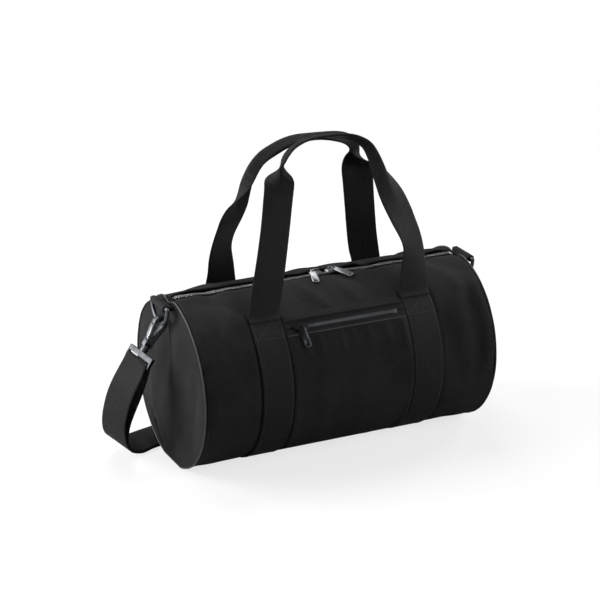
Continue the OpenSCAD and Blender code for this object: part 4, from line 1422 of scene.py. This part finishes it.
@dataclass
class FrontPocket(Assembly):
    """The zip pocket between the bands: turned edge above, zip, gathered panel below."""

    half: float = 74.6
    flat_half: float = 71.5
    stitch_half: float = 72.6
    panel_r: float = 101.9
    welt_r: float = 100.1
    zip_angle: float = 47.0
    zip_x: float = 1.0
    chain_len: float = 120.0
    chain_r: float = 100.55
    pitch: float = 2.4
    tooth: tuple[float, float, float] = (1.0, 2.7, 2.2)
    top_angle: float = 50.5
    low_angle: float = 150.0
    welt_angles: tuple[float, float] = (35.0, 42.6)
    cloth_t: float = 0.9

    def pucker(self, x: float, angle: float) -> float:
        """Height of the gathers that hang from the pocket's zip.

        Args:
            x: Place along the bag.
            angle: Angle from the top towards the front.

        Returns:
            The height in millimetres.
        """
        fall = ease(self.top_angle + 0.8, self.top_angle + 5, angle) * (1 - ease(58, 78, angle))
        wave = (0.5 + 0.5 * math.sin(x / 3.3 + 2.4 * ripple(x / 26, angle / 60, 3.3))) ** 2
        strength = 0.6 + 0.8 * ripple(x / 24, 0.5, 7.7)
        broad = 1.3 * ripple(x / 34, angle / 46, 6.2) * ease(self.top_angle, self.top_angle + 12, angle)
        hang = 0.9 * ripple(x / 18, angle / 60, 12.5) * ease(self.top_angle, self.top_angle + 8, angle)
        rim = ease(self.half, 66, abs(x)) * ease(self.low_angle, 140, angle)
        return (3.0 * fall * wave * max(0.0, strength) + 1.1 * max(-0.6, broad) + 1.2 * max(-0.5, hang)) * rim

    def panel_point(self, x: float, angle: float) -> Vector:
        """A point on the pocket panel's outer face.

        Args:
            x: Place along the bag.
            angle: Angle from the top towards the front.

        Returns:
            The point in millimetres.
        """
        hem = 0.5 * ease(self.top_angle + 3.2, self.top_angle + 2.6, angle)
        sink = 1.1 * ease(self.flat_half, self.half, abs(x)) + 1.6 * ease(136, self.low_angle, angle)
        return on_body(x, angle, self.panel_r + hem + self.pucker(x, angle) - sink)

    def welt_point(self, x: float, angle: float) -> Vector:
        """A point on the turned edge above the zip.

        Args:
            x: Place along the bag.
            angle: Angle from the top towards the front.

        Returns:
            The point in millimetres.
        """
        rise = 1.9 * ease(35.2, 41.0, angle) - 0.4 * ease(41.6, 42.6, angle)
        sink = ease(self.flat_half, self.half, abs(x)) * ease(36, 38, angle)
        return on_body(x, angle, self.welt_r + rise + 0.25 * ripple(x / 16, angle / 9, 8.8) - sink)

    def build_cloth(self, name: str, node: str, angles: tuple[float, float], radius: float,
                    counts: tuple[int, int], point: Callable[[float, float], Vector]) -> None:
        """One of the pocket's cloths on the barrel.

        Args:
            name: The piece's name.
            node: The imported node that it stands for.
            angles: Where it begins and ends below the top.
            radius: The radius at which its flat length is measured.
            counts: Its columns and rows.
            point: Takes a place along the bag and an angle to a point.
        """
        low, high = angles
        arc = math.radians(high - low) * radius
        bm = cloth_grid(2 * self.half, arc, *counts, lambda u, v: point(u, low + (v / arc + 0.5) * (high - low)))
        thicken(finish_piece(name, bm, self.wardrobe.canvas, "bag", [node]), self.cloth_t)

    def build_edge_stitches(self, name: str, style: Stitching, count: int, angle: float, lift_angle: float,
                            point: Callable[[float, float], Vector], thread: bpy.types.Material) -> None:
        """The stitched line along one of the pocket's edges.

        Args:
            name: The piece's name.
            style: How it is sewn.
            count: Steps along the line.
            angle: Where the line lies below the top.
            lift_angle: The angle at which it is raised clear of the cloth.
            point: Takes a place along the bag and an angle to a point.
            thread: The thread's finish.
        """
        places = [-self.stitch_half + 2 * self.stitch_half * i / count for i in range(count + 1)]
        line = [(point(x, angle) + outward(lift_angle) * 0.1, outward(angle)) for x in places]
        self.stitches(name, style, [line], slot="body_fabric", thread=thread)

    def build_zip(self, word: str, sign: int, width: float) -> None:
        """One of the pocket's tapes with its row of teeth.

        Args:
            word: The row's name.
            sign: -1 above the chain and 1 below it.
            width: The tape's width.
        """
        def place(u: float, v: float) -> Vector:
            """Lays the tape beside the pocket's chain."""
            across = (u + width / 2 + 0.8) * sign
            return on_body(v, self.zip_angle + math.degrees(across / self.chain_r), self.chain_r - 0.05)

        piece = finish_piece(f"pocket_tape_cloth_{word}", cloth_grid(width, 2 * self.half, 12, 60, place),
                             self.wardrobe.pocket_tape, "bag", [f"pocket_tape_{word}"])
        thicken(piece, 0.6, both=True)
        local = Matrix.Rotation(math.radians(self.zip_angle), 4, "X") @ Matrix.Translation((0, -sign, self.chain_r))
        first = self.zip_x - self.chain_len / 2
        places = [Matrix.Translation((first + (i + (1.0 if sign > 0 else 0.5)) * self.pitch, 0, BAG.axis_z)) @ local
                  for i in range(int(self.chain_len / self.pitch))]
        finish_piece(f"pocket_teeth_row_{word}", scatter(tooth_shape(self.tooth, 0.28), places),
                     self.wardrobe.dark_teeth, "bag", [f"pocket_teeth_{word}"], smooth=False)

    def build(self) -> None:
        """Builds the panel, the turned edge above it and the zip."""
        self.build_cloth("pocket_cloth", "pocket_panel", (self.top_angle, self.low_angle), 101.6, (110, 110),
                         self.panel_point)
        self.build_edge_stitches("pocket_top_stitches", Stitching(1.9, 1.1, 0.36), 80, self.top_angle + 1.3,
                                 self.top_angle, self.panel_point, self.wardrobe.pale_thread)
        self.build_cloth("pocket_welt_cloth", "pocket_welt", self.welt_angles, 101, (90, 16), self.welt_point)
        self.build_edge_stitches("pocket_welt_stitches", Stitching(2.4, 1.0), 60, 40.9, 40.9, self.welt_point,
                                 self.wardrobe.thread)
        self.build_zip("upper", -1, 11.0)
        self.build_zip("lower", 1, 10.0)
        self.cast("pocket_zip_slider", 0.22, "pocket_slider", self.wardrobe.black_nickel)
        self.cast("pocket_zip_pull", 0.22, "pocket_pull", self.wardrobe.black_nickel)


# ---- Metal fittings --------------------------------------------------------------------------------


@dataclass
class Fittings(Assembly):
    """The rings, hooks, gates, eyes and the adjuster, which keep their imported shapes."""

    def dress(self, node: str, material: bpy.types.Material, smooth: bool = True) -> None:
        """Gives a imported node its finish.

        Args:
            node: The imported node.
            material: Its finish.
            smooth: Whether its faces are shaded smooth.
        """
        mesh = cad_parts[node].data
        mesh.materials.clear()
        mesh.materials.append(material)
        mesh.polygons.foreach_set("use_smooth", [smooth] * len(mesh.polygons))
        LOG.info("%s: packed shape with %s", node, material.name)

    def build(self) -> None:
        """Dresses every fitting."""
        for word in (side.word for side in Side):
            self.dress(f"d_ring_{word}", self.wardrobe.dark_nickel)
            self.dress(f"gate_pin_{word}", self.wardrobe.pale_nickel)
            self.dress(f"gate_spring_{word}", self.wardrobe.spring, False)
            self.cast(f"hook_body_{word}", 0.5, f"hook_{word}", self.wardrobe.dark_nickel)
            self.cast(f"hook_gate_{word}", 0.3, f"gate_{word}", self.wardrobe.pale_nickel)
            self.cast(f"strap_eye_{word}", 0.6, "strap", self.wardrobe.eye_nickel)
        self.cast("strap_adjuster", 0.5, "strap", self.wardrobe.eye_nickel)
        self.dress("zip_stops", self.wardrobe.teeth, False)
        self.dress("pocket_zip_stops", self.wardrobe.dark_teeth, False)


# ---- Studio ----------------------------------------------------------------------------------------


@dataclass(frozen=True)
class SoftBox:
    """A square soft light: its place and aim in metres, its side in metres and its power in watts."""

    name: str
    at: tuple[float, float, float]
    aim: tuple[float, float, float]
    size: float
    power: float

    def build(self) -> None:
        """Hangs the light and turns it to its aim."""
        data = bpy.data.lights.new(self.name, "AREA")
        data.shape = "SQUARE"
        data.size = self.size
        data.energy = self.power
        away = Vector(self.at) - Vector(self.aim)
        turn = away.to_track_quat("Z", "Y").to_matrix().to_4x4()
        add_object(self.name, data).matrix_world = Matrix.Translation(self.at) @ turn


@dataclass
class Studio:
    """The pale floor that fades into a white surround, the soft boxes and the camera of the photograph."""

    camera_at: tuple[float, float, float] = (-0.98425, -2.01085, 1.00834)
    right: tuple[float, float, float] = (0.9018, -0.4321, 0.0)
    up: tuple[float, float, float] = (0.1523, 0.3179, 0.9358)
    lens_mm: float = 125.03
    floor_half: float = 1.35
    fade_from: float = 0.75
    lamps: tuple[SoftBox, ...] = (
        SoftBox("key_left_rear", (-2.1, 0.9, 1.0), (-0.18, 0, 0.1), 1.8, 195),
        SoftBox("fill_left", (-2.4, -0.3, 0.9), (-0.18, 0, 0.1), 2.0, 24),
        SoftBox("top_rear", (0.0, 1.3, 2.2), (0, 0, 0.15), 1.4, 70),
        SoftBox("right_front", (1.9, -1.3, 1.0), (0.1, 0, 0.15), 0.9, 72),
        SoftBox("right_rear", (2.2, 0.6, 1.2), (0.1, 0, 0.15), 0.9, 44))

    def build_camera(self) -> None:
        """The camera at the photograph's place and angle."""
        data = bpy.data.cameras.new("camera")
        data.lens = self.lens_mm
        data.sensor_width = 36.0
        data.sensor_fit = "HORIZONTAL"
        data.clip_end = 40.0
        camera = add_object("camera", data)
        right, up = Vector(self.right).normalized(), Vector(self.up).normalized()
        back = right.cross(up).normalized()
        turn = Matrix((right, back.cross(right), back)).transposed().to_4x4()
        camera.matrix_world = Matrix.Translation(self.camera_at) @ turn
        bpy.context.scene.camera = camera

    def build_floor(self) -> None:
        """A pale floor that the camera sees lit to white, and that fades out before its edge."""
        bm = bmesh.new()
        bmesh.ops.create_grid(bm, x_segments=1, y_segments=1, size=self.floor_half)
        mesh = bpy.data.meshes.new("floor")
        bm.to_mesh(mesh)
        bm.free()
        shading = Shading(bpy.data.materials.new("paper_sweep_white"))
        seen = shading.add("LightPath", {}, "Is Camera Ray")
        paper = shading.add("BsdfDiffuse", {"Color": shading.mix(seen, "#a4a4a4", "#626262")})
        lit = shading.add("Emission", {"Color": (1, 1, 1, 1), "Strength": shading.math("MULTIPLY", seen, 0.74)})
        away = shading.add("VectorMath", {0: shading.add("TexCoord", {}, "Object")}, "Value", operation="LENGTH")
        fade = shading.add("MapRange", {"Value": away, "From Min": self.fade_from, "From Max": self.floor_half - 0.1},
                           interpolation_type="SMOOTHSTEP")
        ends = {0: fade, 1: shading.add("AddShader", {0: paper, 1: lit}), 2: shading.add("BsdfTransparent", {})}
        shading.add("OutputMaterial", {0: shading.add("MixShader", ends)})
        mesh.materials.append(shading.owner)
        add_object("floor", mesh)

    def build_surround(self) -> None:
        """A white background for the camera, which gives the pieces only a little even light."""
        shading = Shading(bpy.data.worlds.new("surround"))
        camera_ray = shading.add("LightPath", {}, "Is Camera Ray")
        seen = shading.math("MAXIMUM", camera_ray, camera_ray.node.outputs["Is Transmission Ray"])
        strength = shading.add("MapRange", {"Value": seen, "To Min": 0.04, "To Max": 1.0})
        glow = shading.add("Background", {"Color": (1, 1, 1, 1), "Strength": strength})
        shading.add("OutputWorld", {0: glow})
        bpy.context.scene.world = shading.owner

    def build(self) -> None:
        """Builds the camera, the floor, the surround and the lights."""
        self.build_camera()
        self.build_floor()
        self.build_surround()
        for lamp in self.lamps:
            lamp.build()
        bpy.context.scene.view_settings.view_transform = "Standard"


def main() -> None:
    """Builds the dressed bag and its studio."""
    logging.basicConfig(level=logging.INFO, format="%(message)s")
    wardrobe = Wardrobe()
    builders = [Studio(), ClothBody(wardrobe), Bands(wardrobe), Handle(wardrobe, Face.FRONT),
                Handle(wardrobe, Face.REAR), ShoulderStrap(wardrobe), RingTab(wardrobe, Side.LEFT),
                RingTab(wardrobe, Side.RIGHT), MainZip(wardrobe), FrontPocket(wardrobe), Fittings(wardrobe)]
    for builder in builders:
        LOG.info("building %s", type(builder).__name__)
        builder.build()
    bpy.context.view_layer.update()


if __name__ == "__main__":
    main()
